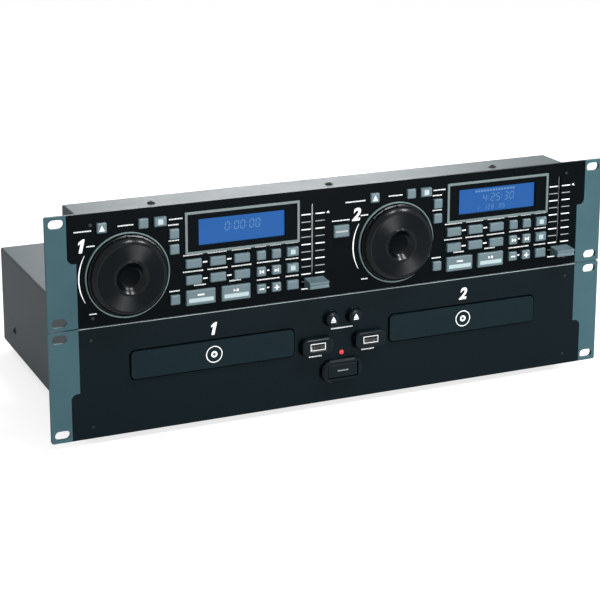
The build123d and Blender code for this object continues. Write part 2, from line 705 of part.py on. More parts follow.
def make_disc_tray(x):
    """Moulded tray: two disc recesses, a slot for hub and lens, side runners, hollow ribbed underside."""
    with BuildPart() as tray:
        with BuildSketch(Plane.XY.offset(tray_low_z)):
            tray_block(x, TRAY_FRONT_D, TRAY_END_D, TRAY_W)
        extrude(amount=TRAY_H)
        with BuildSketch(Plane.XY.offset(tray_low_z + RUNNER_LIFT)):
            tray_block(x, TRAY_LEAD_GAP, TRAY_END_D, TRAY_W + 2 * RUNNER_W)
        extrude(amount=RUNNER_H)
        with BuildSketch(Plane.XY.offset(tray_top_z)):
            with Locations((x, disc_y)):
                RegularPolygon(DISC_R + DISC_RECESS_GAP, WHEEL_SIDES)
        extrude(amount=-DISC_RECESS_DEPTH, mode=Mode.SUBTRACT)
        with BuildSketch(Plane.XY.offset(tray_top_z - DISC_RECESS_DEPTH)):
            with Locations((x, disc_y)):
                RegularPolygon(SMALL_DISC_R + DISC_RECESS_GAP, WHEEL_SIDES)
        extrude(amount=-SMALL_DISC_DEPTH, mode=Mode.SUBTRACT)
        # Hollow underside between the outer walls and two lengthwise ribs
        pocket_w = TRAY_RIB_SPACING - TRAY_WALL
        pocket_top_z = tray_top_z - DISC_RECESS_DEPTH - SMALL_DISC_DEPTH - TRAY_SKIN
        pocket_length = TRAY_END_D - TRAY_FRONT_D - 2 * TRAY_WALL
        with BuildSketch(Plane.XY.offset(tray_low_z)):
            with Locations((x, at_depth((TRAY_FRONT_D + TRAY_END_D) / 2))):
                with GridLocations(TRAY_RIB_SPACING, 1, 3, 1):
                    Rectangle(pocket_w, pocket_length)
        extrude(amount=pocket_top_z - tray_low_z, mode=Mode.SUBTRACT)
        # Slot for the turntable hub in front and the lens behind it
        with BuildSketch(Plane.XY.offset(tray_low_z)):
            with Locations((x, disc_y)):
                RegularPolygon(TRAY_SLOT_W / 2, BUTTON_SIDES)
            tray_block(x, DISC_D, DISC_D + TRAY_SLOT_REACH, TRAY_SLOT_W)
        extrude(amount=TRAY_H, mode=Mode.SUBTRACT)
    return tray


def make_tray_door(x):
    """Front door clipped to the tray, standing slightly proud of the panel."""
    with BuildPart() as door:
        with BuildSketch(front_plane(TRAY_FRONT_D)):
            with Locations((x, player_height(DOOR_Z))):
                RectangleRounded(DOOR_W, DOOR_H, DOOR_R)
        extrude(amount=DOOR_T)
    return door


disc_trays = [make_disc_tray(x) for x in TRAY_XS]
tray_doors = [make_tray_door(x) for x in TRAY_XS]

# ---------------------------------------------------------------- drive mechanisms
frame_floor_z = player_height(FRAME_FLOOR_TOP_Z)
deck_low_z = player_height(DECK_LOW_Z)
deck_top_z = deck_low_z + DECK_T
bridge_low_z = player_height(BRIDGE_LOW_Z)
bridge_top_z = bridge_low_z + BRIDGE_T
rail_z = player_height(RAIL_Z)
lens_slot_w = 2 * (PICKUP_LENS_R + PICKUP_SLOT_GAP)

with BuildPart() as drive_frames:
    for frame_x in TRAY_XS:
        # Floor and side walls, standing on four legs
        with BuildSketch(Plane.XY.offset(player_height(FRAME_LOW_Z))):
            tray_block(frame_x, FRAME_FRONT_D, FRAME_END_D, FRAME_OUTSIDE_W)
        extrude(amount=FRAME_SIDE_TOP_Z - FRAME_LOW_Z)
        with BuildSketch(Plane.XY.offset(frame_floor_z)):
            tray_block(frame_x, FRAME_FRONT_D, FRAME_END_D, FRAME_INSIDE_W)
        extrude(amount=FRAME_SIDE_TOP_Z - FRAME_FLOOR_TOP_Z, mode=Mode.SUBTRACT)
        # Grooves that the tray's runners slide in
        with BuildSketch(Plane.XY.offset(tray_low_z + RUNNER_LIFT - MOVING_GAP)):
            tray_block(frame_x, FRAME_FRONT_D, FRAME_END_D, TRAY_W + 2 * (RUNNER_W + MOVING_GAP))
        extrude(amount=RUNNER_H + 2 * MOVING_GAP, mode=Mode.SUBTRACT)
        with BuildSketch(Plane.XY.offset(BASE_FLOOR_Z)):
            with Locations((frame_x, at_depth((FRAME_FRONT_D + FRAME_END_D) / 2))):
                with GridLocations(
                    FRAME_OUTSIDE_W - 2 * FRAME_LEG_INSET,
                    FRAME_END_D - FRAME_FRONT_D - 2 * FRAME_LEG_INSET, 2, 2,
                ):
                    Rectangle(FRAME_LEG, FRAME_LEG)
        extrude(amount=player_height(FRAME_LOW_Z) - BASE_FLOOR_Z)
        # Bridge over the tray that carries the clamp
        with BuildSketch(front_plane(DISC_D + BRIDGE_D / 2)):
            with Locations((frame_x, (player_height(FRAME_SIDE_TOP_Z) + bridge_top_z) / 2)):
                Rectangle(FRAME_OUTSIDE_W, bridge_top_z - player_height(FRAME_SIDE_TOP_Z))
                Rectangle(
                    FRAME_INSIDE_W, bridge_top_z - player_height(FRAME_SIDE_TOP_Z), mode=Mode.SUBTRACT
                )
            with Locations((frame_x, (bridge_low_z + bridge_top_z) / 2)):
                Rectangle(FRAME_OUTSIDE_W, BRIDGE_T)
        extrude(amount=BRIDGE_D)
        with BuildSketch(Plane.XY.offset(bridge_low_z)):
            with Locations((frame_x, disc_y)):
                RegularPolygon(CLAMP_NECK_R + CLAMP_NECK_GAP, BUTTON_SIDES)
        extrude(amount=BRIDGE_T, mode=Mode.SUBTRACT)
        # Spindle motor and the end blocks of the pickup's rails, under the deck plate
        with BuildSketch(Plane.XY.offset(frame_floor_z)):
            with Locations((frame_x, disc_y)):
                RegularPolygon(MOTOR_R, BUTTON_SIDES)
            tray_block(frame_x, DISC_D + RAIL_FRONT, DISC_D + RAIL_FRONT + RAIL_BLOCK_T, RAIL_BLOCK_W)
            tray_block(frame_x, DISC_D + RAIL_REAR, DISC_D + RAIL_REAR + RAIL_BLOCK_T, RAIL_BLOCK_W)
        extrude(amount=deck_low_z - frame_floor_z)
        with BuildSketch(Plane.XY.offset(deck_low_z)):
            tray_block(frame_x, DISC_D - DECK_FRONT, DISC_D + DECK_REAR, DECK_W)
            with Locations((frame_x, at_depth(DISC_D + (RAIL_FRONT + RAIL_BLOCK_T + RAIL_REAR) / 2))):
                Rectangle(lens_slot_w, RAIL_REAR - RAIL_FRONT - RAIL_BLOCK_T, mode=Mode.SUBTRACT)
            with Locations((frame_x, disc_y)):
                RegularPolygon(DECK_SHAFT_HOLE_R, ROUND_SIDES, mode=Mode.SUBTRACT)
        extrude(amount=DECK_T)
        # Bore of the spindle motor's bearing
        with BuildSketch(Plane.XY.offset(frame_floor_z)):
            with Locations((frame_x, disc_y)):
                RegularPolygon(SPINDLE_SHAFT_R + RUNNING_GAP, BUTTON_SIDES)
        extrude(amount=deck_low_z - frame_floor_z, mode=Mode.SUBTRACT)
        # Two round rails for the pickup
        with BuildSketch(front_plane(DISC_D + RAIL_REAR)):
            with Locations((frame_x, rail_z)):
                with GridLocations(RAIL_SPACING, 1, 2, 1):
                    RegularPolygon(RAIL_R, ROUND_SIDES)
        extrude(amount=RAIL_REAR - RAIL_FRONT - RAIL_BLOCK_T)


def make_spindle(x):
    """Turntable hub on its motor shaft."""
    shaft_foot_z = frame_floor_z + MOVING_GAP
    table_z = deck_top_z + SPINDLE_TABLE_LIFT
    with BuildPart() as spindle:
        with BuildSketch(Plane.XY.offset(shaft_foot_z)):
            with Locations((x, disc_y)):
                RegularPolygon(SPINDLE_SHAFT_R, ROUND_SIDES)
        extrude(amount=table_z - shaft_foot_z)
        with BuildSketch(Plane.XY.offset(table_z)):
            with Locations((x, disc_y)):
                RegularPolygon(SPINDLE_TABLE_R, BUTTON_SIDES)
        extrude(amount=SPINDLE_TABLE_T)
        with BuildSketch(Plane.XY.offset(table_z + SPINDLE_TABLE_T)):
            with Locations((x, disc_y)):
                RegularPolygon(SPINDLE_BOSS_R, BUTTON_SIDES)
        extrude(amount=SPINDLE_BOSS_H, taper=SPINDLE_BOSS_TAPER)
    return spindle


def make_pickup(x):
    """Laser pickup: a sled bored for its two rails, with a lens turret on top."""
    front_d = DISC_D + PICKUP_START
    with BuildPart() as pickup:
        with BuildSketch(Plane.XY.offset(rail_z - PICKUP_H / 2)):
            tray_block(x, front_d, front_d + PICKUP_L, PICKUP_W)
        extrude(amount=PICKUP_H)
        with BuildSketch(front_plane(front_d + PICKUP_L)):
            with Locations((x, rail_z)):
                with GridLocations(RAIL_SPACING, 1, 2, 1):
                    RegularPolygon(RAIL_R + RUNNING_GAP, ROUND_SIDES)
        extrude(amount=PICKUP_L, mode=Mode.SUBTRACT)
        with BuildSketch(Plane.XY.offset(rail_z + PICKUP_H / 2)):
            with Locations((x, at_depth(front_d + PICKUP_L / 2))):
                RegularPolygon(PICKUP_LENS_R, ROUND_SIDES)
        extrude(amount=PICKUP_LENS_RISE)
        with BuildSketch(Plane.XY.offset(rail_z + PICKUP_H / 2 + PICKUP_LENS_RISE)):
            with Locations((x, at_depth(front_d + PICKUP_L / 2))):
                RegularPolygon(PICKUP_EYE_R, ROUND_SIDES)
        extrude(amount=PICKUP_EYE_RISE)
    return pickup


disc_spindles = [make_spindle(x) for x in TRAY_XS]
laser_pickups = [make_pickup(x) for x in TRAY_XS]

# Clamps that rest in the bridges, free to turn with a disc
with BuildPart() as disc_clamps:
    for clamp_x in TRAY_XS:
        with BuildSketch(Plane.XY.offset(bridge_top_z)):
            with Locations((clamp_x, disc_y)):
                RegularPolygon(CLAMP_R, BUTTON_SIDES)
        extrude(amount=CLAMP_T)
        with BuildSketch(Plane.XY.offset(bridge_top_z)):
            with Locations((clamp_x, disc_y)):
                RegularPolygon(CLAMP_NECK_R, BUTTON_SIDES)
        extrude(amount=-(BRIDGE_T + CLAMP_DROP))

# ---------------------------------------------------------------- the player's buttons and ports
with BuildPart() as eject_collars:
    with BuildSketch(front_plane(0)):
        with Locations(*EJECT_PLACES):
            RegularPolygon(COLLAR_R, BUTTON_SIDES)
    extrude(amount=COLLAR_PROUD)
    with BuildSketch(front_plane(BUTTON_FLANGE_D - MOVING_GAP)):
        with Locations(*EJECT_PLACES):
            RegularPolygon(collar_neck_r, BUTTON_SIDES)
    extrude(amount=BUTTON_FLANGE_D - MOVING_GAP)
    with BuildSketch(front_plane(BUTTON_FLANGE_D)):
        with Locations(*EJECT_PLACES):
            RegularPolygon(EJECT_R + MOVING_GAP, BUTTON_SIDES)
    extrude(amount=BUTTON_FLANGE_D + COLLAR_PROUD, mode=Mode.SUBTRACT)


def make_eject_button(place):
    """Round button with a flange behind its collar."""
    with BuildPart() as button:
        with BuildSketch(front_plane(BUTTON_FLANGE_D)):
            with Locations(place):
                RegularPolygon(EJECT_R, BUTTON_SIDES)
        extrude(amount=BUTTON_FLANGE_D + EJECT_PROUD)
        chamfer(button.faces().sort_by(Axis.Y)[0].outer_wire().edges(), EJECT_EDGE)
        with BuildSketch(front_plane(BUTTON_FLANGE_D + BUTTON_FLANGE_T)):
            with Locations(place):
                RegularPolygon(EJECT_FLANGE_R, BUTTON_SIDES)
        extrude(amount=BUTTON_FLANGE_T)
    return button


eject_buttons = [make_eject_button(place) for place in EJECT_PLACES]

# Oval surround of the power button, with a neck through the panel
with BuildPart() as power_bezel:
    with BuildSketch(front_plane(0)) as bezel_outline:
        with Locations(POWER_PLACE):
            Rectangle(POWER_BEZEL_W, POWER_BEZEL_H)
        round_off(bezel_outline, POWER_BEZEL_H / 2)
    extrude(amount=POWER_BEZEL_PROUD)
    chamfer(power_bezel.faces().sort_by(Axis.Y)[0].outer_wire().edges(), POWER_BEZEL_EDGE)
    with BuildSketch(front_plane(BUTTON_FLANGE_D - MOVING_GAP)):
        with Locations(POWER_PLACE):
            Rectangle(power_neck_w, power_neck_h)
    extrude(amount=BUTTON_FLANGE_D - MOVING_GAP)
    with BuildSketch(front_plane(BUTTON_FLANGE_D)):
        with Locations(POWER_PLACE):
            Rectangle(POWER_BUTTON_W + 2 * MOVING_GAP, POWER_BUTTON_H + 2 * MOVING_GAP)
    extrude(amount=BUTTON_FLANGE_D + POWER_BEZEL_PROUD, mode=Mode.SUBTRACT)

with BuildPart() as power_button:
    with BuildSketch(front_plane(BUTTON_FLANGE_D)):
        with Locations(POWER_PLACE):
            Rectangle(POWER_BUTTON_W, POWER_BUTTON_H)
    extrude(amount=BUTTON_FLANGE_D + POWER_BUTTON_PROUD)
    chamfer(power_button.faces().sort_by(Axis.Y)[0].outer_wire().edges(), KEY_EDGE)
    with BuildSketch(front_plane(BUTTON_FLANGE_D + BUTTON_FLANGE_T)):
        with Locations(POWER_PLACE):
            Rectangle(
                POWER_BUTTON_W + 2 * (MOVING_GAP + POWER_FLANGE_LIP),
                POWER_BUTTON_H + 2 * (MOVING_GAP + POWER_FLANGE_LIP),
            )
    extrude(amount=BUTTON_FLANGE_T)

# Clear rod that brings the lamp's light from the board to the front
with BuildPart() as power_led:
    with BuildSketch(front_plane(FRONT_BOARD_D)):
        with Locations(LED_PLACE):
            RegularPolygon(LED_R, ROUND_SIDES)
    extrude(amount=FRONT_BOARD_D)
    with BuildSketch(front_plane(0)):
        with Locations(LED_PLACE):
            RegularPolygon(LED_R, ROUND_SIDES)
    extrude(amount=LED_PROUD, taper=35)

with BuildPart() as usb_bezels:
    with BuildSketch(front_plane(0)) as port_outlines:
        with Locations(*PORT_PLACES):
            Rectangle(PORT_BEZEL_W, PORT_BEZEL_H)
        round_off(port_outlines, PORT_BEZEL_R)
    extrude(amount=PORT_BEZEL_PROUD)
    chamfer(usb_bezels.faces().group_by(Axis.Y)[0].edges(), PORT_BEZEL_EDGE)
    with BuildSketch(front_plane(PORT_NECK_D)):
        with Locations(*PORT_PLACES):
            Rectangle(port_neck_w, port_neck_h)
    extrude(amount=PORT_NECK_D)
    with BuildSketch(front_plane(PORT_NECK_D)):
        with Locations(*PORT_PLACES):
            Rectangle(PORT_W + 2 * SEAT_GAP, PORT_H + 2 * SEAT_GAP)
    extrude(amount=PORT_NECK_D + PORT_BEZEL_PROUD, mode=Mode.SUBTRACT)

# Metal shells of the two ports, each with its contact tongue
with BuildPart() as usb_sockets:
    with BuildSketch(front_plane(FRONT_BOARD_D)):
        with Locations(*PORT_PLACES):
            Rectangle(PORT_W, PORT_H)
    extrude(amount=FRONT_BOARD_D + PORT_BEZEL_PROUD - PORT_RECESS)
    with BuildSketch(front_plane(PORT_CAVITY_D)):
        with Locations(*PORT_PLACES):
            Rectangle(PORT_W - 2 * PORT_WALL, PORT_H - 2 * PORT_WALL)
    extrude(amount=PORT_CAVITY_D + PORT_BEZEL_PROUD, mode=Mode.SUBTRACT)
    with BuildSketch(front_plane(PORT_CAVITY_D)):
        with Locations(*[(x, z + TONGUE_LIFT) for x, z in PORT_PLACES]):
            Rectangle(TONGUE_W, TONGUE_T)
    extrude(amount=PORT_CAVITY_D + PORT_BEZEL_PROUD - PORT_RECESS - TONGUE_SETBACK)

# ---------------------------------------------------------------- jog wheels
jog_z = deck_height(JOG_Z)
encoder_bore_r = JOG_SHAFT_R + RUNNING_GAP

with BuildPart() as jog_bezels:
    with BuildSketch(front_plane(0)):
        for jog_x in (DECK_1_X, DECK_2_X):
            with Locations((jog_x, jog_z)):
                RegularPolygon(JOG_RING_R, WHEEL_SIDES)
                RegularPolygon(JOG_RING_R - JOG_RING_W, WHEEL_SIDES, mode=Mode.SUBTRACT)
    extrude(amount=JOG_RING_PROUD)

with BuildPart() as jog_encoders:
    with BuildSketch(front_plane(FRONT_BOARD_D)):
        with Locations((DECK_1_X, jog_z), (DECK_2_X, jog_z)):
            RegularPolygon(ENCODER_R, ROUND_SIDES)
    extrude(amount=FRONT_BOARD_D - PANEL_BACK_D)
    with BuildSketch(front_plane(PANEL_BACK_D)):
        with Locations((DECK_1_X, jog_z), (DECK_2_X, jog_z)):
            RegularPolygon(ENCODER_BUSH_R, ROUND_SIDES)
    extrude(amount=PANEL_BACK_D)
    with BuildSketch(front_plane(FRONT_BOARD_D)):
        with Locations((DECK_1_X, jog_z), (DECK_2_X, jog_z)):
            Circle(encoder_bore_r)
    extrude(amount=FRONT_BOARD_D, mode=Mode.SUBTRACT)


def make_jog_wheel(x):
    """Skirt, studded grip band, bevel, flat face, raised hub ring and finger bowl, on a clipped shaft."""
    place = (x, jog_z)
    hub_front = JOG_PROUD + JOG_HUB_RISE
    with BuildPart() as wheel:
        with BuildSketch(front_plane(-JOG_BACK_GAP)):
            with Locations(place):
                RegularPolygon(JOG_BAND_R, WHEEL_SIDES)
        extrude(amount=JOG_PROUD - JOG_BACK_GAP)
        chamfer(wheel.faces().sort_by(Axis.Y)[0].outer_wire().edges(), JOG_BEVEL)
        with BuildSketch(front_plane(-JOG_BACK_GAP)):
            with Locations(place):
                RegularPolygon(JOG_SKIRT_R, WHEEL_SIDES)
        extrude(amount=JOG_SKIRT_H)
        with BuildSketch(front_plane(-JOG_PROUD)):
            with Locations(place):
                RegularPolygon(JOG_HUB_R, WHEEL_SIDES)
        extrude(amount=JOG_HUB_RISE)
        with BuildSketch(front_plane(-hub_front)):
            with Locations(place):
                RegularPolygon(JOG_BOWL_FLOOR_R, WHEEL_SIDES)
        extrude(amount=-JOG_BOWL_DEPTH, mode=Mode.SUBTRACT)
        bowl_rim = wheel.faces().sort_by(Axis.Y)[0].inner_wires()[0]
        chamfer(bowl_rim.edges(), JOG_HUB_R - JOG_HUB_W - JOG_BOWL_FLOOR_R)
        # Studs round the grip band, in the middle of its flats
        with Locations(Plane(origin=(x, at_depth(-JOG_STUD_PROUD), jog_z), z_dir=(0, -1, 0))):
            with PolarLocations(
                JOG_BAND_R - JOG_STUD_W / 2, JOG_STUD_COUNT, start_angle=180 / WHEEL_SIDES
            ):
                Box(JOG_STUD_W + JOG_STUD_REACH, JOG_STUD_W, JOG_STUD_W)
        # Shaft with the clip that keeps it in its bearing
        clip_front_d = FRONT_BOARD_D + MOVING_GAP
        with BuildSketch(front_plane(clip_front_d + JOG_CLIP_T)):
            with Locations(place):
                Circle(JOG_SHAFT_R)
        extrude(amount=clip_front_d + JOG_CLIP_T + JOG_BACK_GAP)
        with BuildSketch(front_plane(clip_front_d + JOG_CLIP_T)):
            with Locations(place):
                RegularPolygon(JOG_CLIP_R, ROUND_SIDES)
        extrude(amount=JOG_CLIP_T)
    return wheel


jog_wheels = [make_jog_wheel(x) for x in (DECK_1_X, DECK_2_X)]

# ---------------------------------------------------------------- pitch faders
FADER_XS = (DECK_1_X + FADER_X, DECK_2_X + FADER_X)
fader_middle_z = deck_height(FADER_LOW_Z + FADER_TRAVEL / 2)
fader_slot_h = FADER_TRAVEL + FADER_STEM_H + 2 * FADER_END_GAP

with BuildPart() as fader_bodies:
    with BuildSketch(front_plane(FRONT_BOARD_D)):
        with Locations(*[(x, fader_middle_z) for x in FADER_XS]):
            Rectangle(FADER_BODY_W, fader_slot_h + 2 * FADER_BODY_MARGIN)
    extrude(amount=FRONT_BOARD_D - PANEL_BACK_D)
    with BuildSketch(front_plane(FADER_STEM_D + MOVING_GAP)):
        with Locations(*[(x, fader_middle_z) for x in FADER_XS]):
            Rectangle(FADER_SLOT_W, fader_slot_h)
    extrude(amount=FADER_STEM_D + MOVING_GAP - PANEL_BACK_D, mode=Mode.SUBTRACT)


def make_fader_knob(x):
    """Wide sliding cap with a level groove across its face, on a flat stem."""
    knob_z = deck_height(FADER_LOW_Z)
    knob_back = KNOB_BACK_GAP
    with BuildPart() as knob:
        with BuildSketch(Plane.YZ.offset(x - KNOB_W / 2)):
            with BuildLine():
                Polyline(
                    (at_depth(-knob_back), knob_z - KNOB_H / 2),
                    (at_depth(-knob_back), knob_z + KNOB_H / 2),
                    (at_depth(-KNOB_PROUD), knob_z + KNOB_TIP_H / 2),
                    (at_depth(-KNOB_PROUD), knob_z + KNOB_GROOVE_W / 2),
                    (at_depth(-KNOB_PROUD + KNOB_GROOVE_DEPTH), knob_z),
                    (at_depth(-KNOB_PROUD), knob_z - KNOB_GROOVE_W / 2),
                    (at_depth(-KNOB_PROUD), knob_z - KNOB_TIP_H / 2),
                    close=True,
                )
            make_face()
        extrude(amount=KNOB_W)
        with BuildSketch(front_plane(FADER_STEM_D)):
            with Locations((x, knob_z)):
                Rectangle(FADER_STEM_W, FADER_STEM_H)
        extrude(amount=FADER_STEM_D + knob_back)
    return knob


fader_knobs = [make_fader_knob(x) for x in FADER_XS]

# ---------------------------------------------------------------- displays
screen_places = [(x + DISPLAY_X, deck_height(SCREEN_Z)) for x in (DECK_1_X, DECK_2_X)]

with BuildPart() as display_frames:
    with BuildSketch(front_plane(0)):
        for deck_x in (DECK_1_X, DECK_2_X):
            with Locations((deck_x + DISPLAY_X, deck_height(DISPLAY_Z))):
                Rectangle(DISPLAY_W, DISPLAY_H)
                Rectangle(DISPLAY_W - 2 * DISPLAY_LINE, DISPLAY_H - 2 * DISPLAY_LINE, mode=Mode.SUBTRACT)
    extrude(amount=DISPLAY_PROUD)

with BuildPart() as lcd_panels:
    with BuildSketch(front_plane(PANEL_BACK_D + SCREEN_T)):
        with Locations(*screen_places):
            Rectangle(SCREEN_W + 2 * SCREEN_BORDER, SCREEN_H + 2 * SCREEN_BORDER)
    extrude(amount=SCREEN_T)

with BuildPart() as lcd_holders:
    with BuildSketch(front_plane(FRONT_BOARD_D)):
        with Locations(*screen_places):
            Rectangle(
                SCREEN_W + 2 * (SCREEN_BORDER + HOLDER_WALL), SCREEN_H + 2 * (SCREEN_BORDER + HOLDER_WALL)
            )
    extrude(amount=FRONT_BOARD_D - PANEL_BACK_D)
    with BuildSketch(front_plane(PANEL_BACK_D + SCREEN_T)):
        with Locations(*screen_places):
            Rectangle(SCREEN_W + 2 * SCREEN_BORDER, SCREEN_H + 2 * SCREEN_BORDER)
    extrude(amount=SCREEN_T, mode=Mode.SUBTRACT)

# ---------------------------------------------------------------- keys
key_flange_d = PANEL_BACK_D + MOVING_GAP


def make_keys(keys):
    """Caps standing out of the panel, each with a flange behind it."""
    with BuildPart() as group:
        with BuildSketch(front_plane(key_flange_d)):
            for x, z, (width, height) in keys:
                with Locations((x, z)):
                    Rectangle(width, height)
        extrude(amount=key_flange_d + KEY_PROUD)
        chamfer(group.faces().group_by(Axis.Y)[0].edges(), KEY_EDGE)
        with BuildSketch(front_plane(key_flange_d + KEY_FLANGE_T)):
            for x, z, (width, height) in keys:
                with Locations((x, z)):
                    Rectangle(
                        width + 2 * (MOVING_GAP + KEY_FLANGE_LIP),
                        height + 2 * (MOVING_GAP + KEY_FLANGE_LIP),
                    )
        extrude(amount=KEY_FLANGE_T)
    return group


relay_key = make_keys(RELAY_KEYS)
deck_key_groups = {
    f"{group}_{number}": make_keys(deck_keys(deck_x, group))
    for number, deck_x in ((1, DECK_1_X), (2, DECK_2_X))
    for group in KEY_GROUPS
}

# ---------------------------------------------------------------- circuit boards
board_back_d = FRONT_BOARD_D + BOARD_T
key_back_d = key_flange_d + KEY_FLANGE_T
button_back_d = BUTTON_FLANGE_D + BUTTON_FLANGE_T
main_board_z = player_height(MAIN_BOARD_Z)
board_end_d = REAR_WALL_D - REAR_MARGIN
main_board_place = (MAIN_BOARD_X, at_depth((MAIN_BOARD_FRONT_D + board_end_d) / 2))
supply_place = (SUPPLY_X, at_depth(board_end_d - SUPPLY_D / 2))


def mat_block(low_x, high_x, low_z, high_z):
    """Draw a rectangle between two columns and two heights."""
    with Locations(((low_x + high_x) / 2, (low_z + high_z) / 2)):
        Rectangle(high_x - low_x, high_z - low_z)


with BuildPart() as circuit_boards:
    # Board behind the control unit's keys
    with BuildSketch(front_plane(board_back_d)):
        with Locations((0, deck_height((CONTROL_BOARD_LOW_Z + CONTROL_BOARD_HIGH_Z) / 2))):
            Rectangle(CONTROL_BOARD_W, CONTROL_BOARD_HIGH_Z - CONTROL_BOARD_LOW_Z)
        with Locations((DECK_1_X, jog_z), (DECK_2_X, jog_z)):
            RegularPolygon(JOG_CLIP_R + CLIP_HOLE_GAP, ROUND_SIDES, mode=Mode.SUBTRACT)
    extrude(amount=BOARD_T)
    # Rubber contact mats on it: under the two lower banks of keys, the side column and the top row
    with BuildSketch(front_plane(FRONT_BOARD_D)):
        for deck_x in (DECK_1_X, DECK_2_X):
            mat_block(
                deck_x + WIDE_KEY_X - BIG_KEY[0] / 2, deck_x + PITCH_KEY_X + LIT_KEY[0] / 2,
                deck_height(LOWER_ROW_Z - SWITCH_SIZE), deck_height(UPPER_ROW_Z + SWITCH_SIZE / 2),
            )
            mat_block(
                deck_x + SIDE_KEY_X - SWITCH_SIZE / 2, deck_x + SIDE_KEY_X + SWITCH_SIZE / 2,
                deck_height(LOWER_ROW_Z - SWITCH_SIZE), deck_height(TOP_ROW_Z + SWITCH_SIZE / 2),
            )
            mat_block(
                deck_x + SOURCE_KEY_X - SWITCH_SIZE / 2, deck_x + SIDE_KEY_X + SWITCH_SIZE / 2,
                deck_height(TOP_ROW_Z - SWITCH_SIZE / 2), deck_height(TOP_ROW_Z + SWITCH_SIZE / 2),
            )
            with Locations((deck_x + EJECT_KEY_X, deck_height(TOP_ROW_Z))):
                Rectangle(SWITCH_SIZE, SWITCH_SIZE)
        with Locations((RELAY_X, deck_height(RELAY_Z))):
            Rectangle(SWITCH_SIZE, SWITCH_SIZE)
    extrude(amount=FRONT_BOARD_D - key_back_d - KEY_TRAVEL - MOVING_GAP)
    # Board behind the player's buttons and ports, with their three switches
    with BuildSketch(front_plane(board_back_d)):
        with Locations((0, player_height((FRONT_BOARD_LOW_Z + FRONT_BOARD_HIGH_Z) / 2))):
            Rectangle(FRONT_BOARD_W, FRONT_BOARD_HIGH_Z - FRONT_BOARD_LOW_Z)
    extrude(amount=BOARD_T)
    with BuildSketch(front_plane(FRONT_BOARD_D)):
        with Locations(*EJECT_PLACES):
            Rectangle(SWITCH_SIZE, SWITCH_SIZE)
    extrude(amount=FRONT_BOARD_D - button_back_d - EJECT_TRAVEL - MOVING_GAP)
    with BuildSketch(front_plane(FRONT_BOARD_D)):
        with Locations(POWER_PLACE):
            Rectangle(2 * SWITCH_SIZE, SWITCH_SIZE)
    extrude(amount=FRONT_BOARD_D - button_back_d - POWER_TRAVEL - MOVING_GAP)
    # Main board on the floor behind the drives, on four pillars
    with BuildSketch(Plane.XY.offset(main_board_z)):
        with Locations(main_board_place):
            Rectangle(MAIN_BOARD_W, board_end_d - MAIN_BOARD_FRONT_D)
    extrude(amount=BOARD_T)
    with BuildSketch(Plane.XY.offset(BASE_FLOOR_Z)):
        with Locations(main_board_place):
            with GridLocations(
                MAIN_BOARD_W - 4 * STUD_INSET, board_end_d - MAIN_BOARD_FRONT_D - 2 * STUD_INSET, 2, 2
            ):
                RegularPolygon(STUD_R, SMALL_SIDES)
    extrude(amount=main_board_z - BASE_FLOOR_Z)
    with BuildSketch(Plane.XY.offset(main_board_z + BOARD_T)):
        with Locations((MAIN_BOARD_X, at_depth(CHIP_D))):
            with GridLocations(CHIP_SPACING, 1, 3, 1):
                Rectangle(CHIP_SIZE, CHIP_SIZE)
    extrude(amount=CHIP_T)

# Power supply: board on pillars with a transformer and two capacitors
with BuildPart() as power_supply:
    with BuildSketch(Plane.XY.offset(main_board_z)):
        with Locations(supply_place):
            Rectangle(SUPPLY_W, SUPPLY_D)
    extrude(amount=BOARD_T)
    with BuildSketch(Plane.XY.offset(BASE_FLOOR_Z)):
        with Locations(supply_place):
            with GridLocations(SUPPLY_W - 2 * STUD_INSET, SUPPLY_D - 2 * STUD_INSET, 2, 2):
                RegularPolygon(STUD_R, SMALL_SIDES)
    extrude(amount=main_board_z - BASE_FLOOR_Z)
    with BuildSketch(Plane.XY.offset(main_board_z + BOARD_T)):
        with Locations((SUPPLY_X + TRANSFORMER_OFFSET, supply_place[1])):
            Rectangle(TRANSFORMER_W, TRANSFORMER_D)
    extrude(amount=TRANSFORMER_H)
    with BuildSketch(Plane.XY.offset(main_board_z + BOARD_T)):
        with Locations((SUPPLY_X + CAPACITOR_OFFSET, supply_place[1])):
            with GridLocations(1, CAPACITOR_PITCH, 1, 2):
                RegularPolygon(CAPACITOR_R, ROUND_SIDES)
    extrude(amount=CAPACITOR_H)

# ---------------------------------------------------------------- rear sockets
with BuildPart() as audio_sockets:
    with BuildSketch(front_plane(REAR_WALL_D)):
        with Locations(*[(x, board_top_z + PHONO_PITCH_Z) for x in PHONO_XS]):
            Rectangle(PHONO_BLOCK_W, 2 * PHONO_PITCH_Z)
    extrude(amount=PHONO_BLOCK_D)
    with BuildSketch(front_plane(PLAYER_DEPTH + PHONO_BARREL_L)):
        with Locations(*[(x, z) for x in PHONO_XS for z in PHONO_ZS]):
            RegularPolygon(PHONO_BARREL_R, ROUND_SIDES)
    extrude(amount=PHONO_BARREL_L + SHEET_T)
    with BuildSketch(front_plane(PLAYER_DEPTH + PHONO_BARREL_L)):
        with Locations(*[(x, z) for x in PHONO_XS for z in PHONO_ZS]):
            RegularPolygon(PHONO_HOLE_R, SMALL_SIDES)
    extrude(amount=PHONO_BARREL_L, mode=Mode.SUBTRACT)


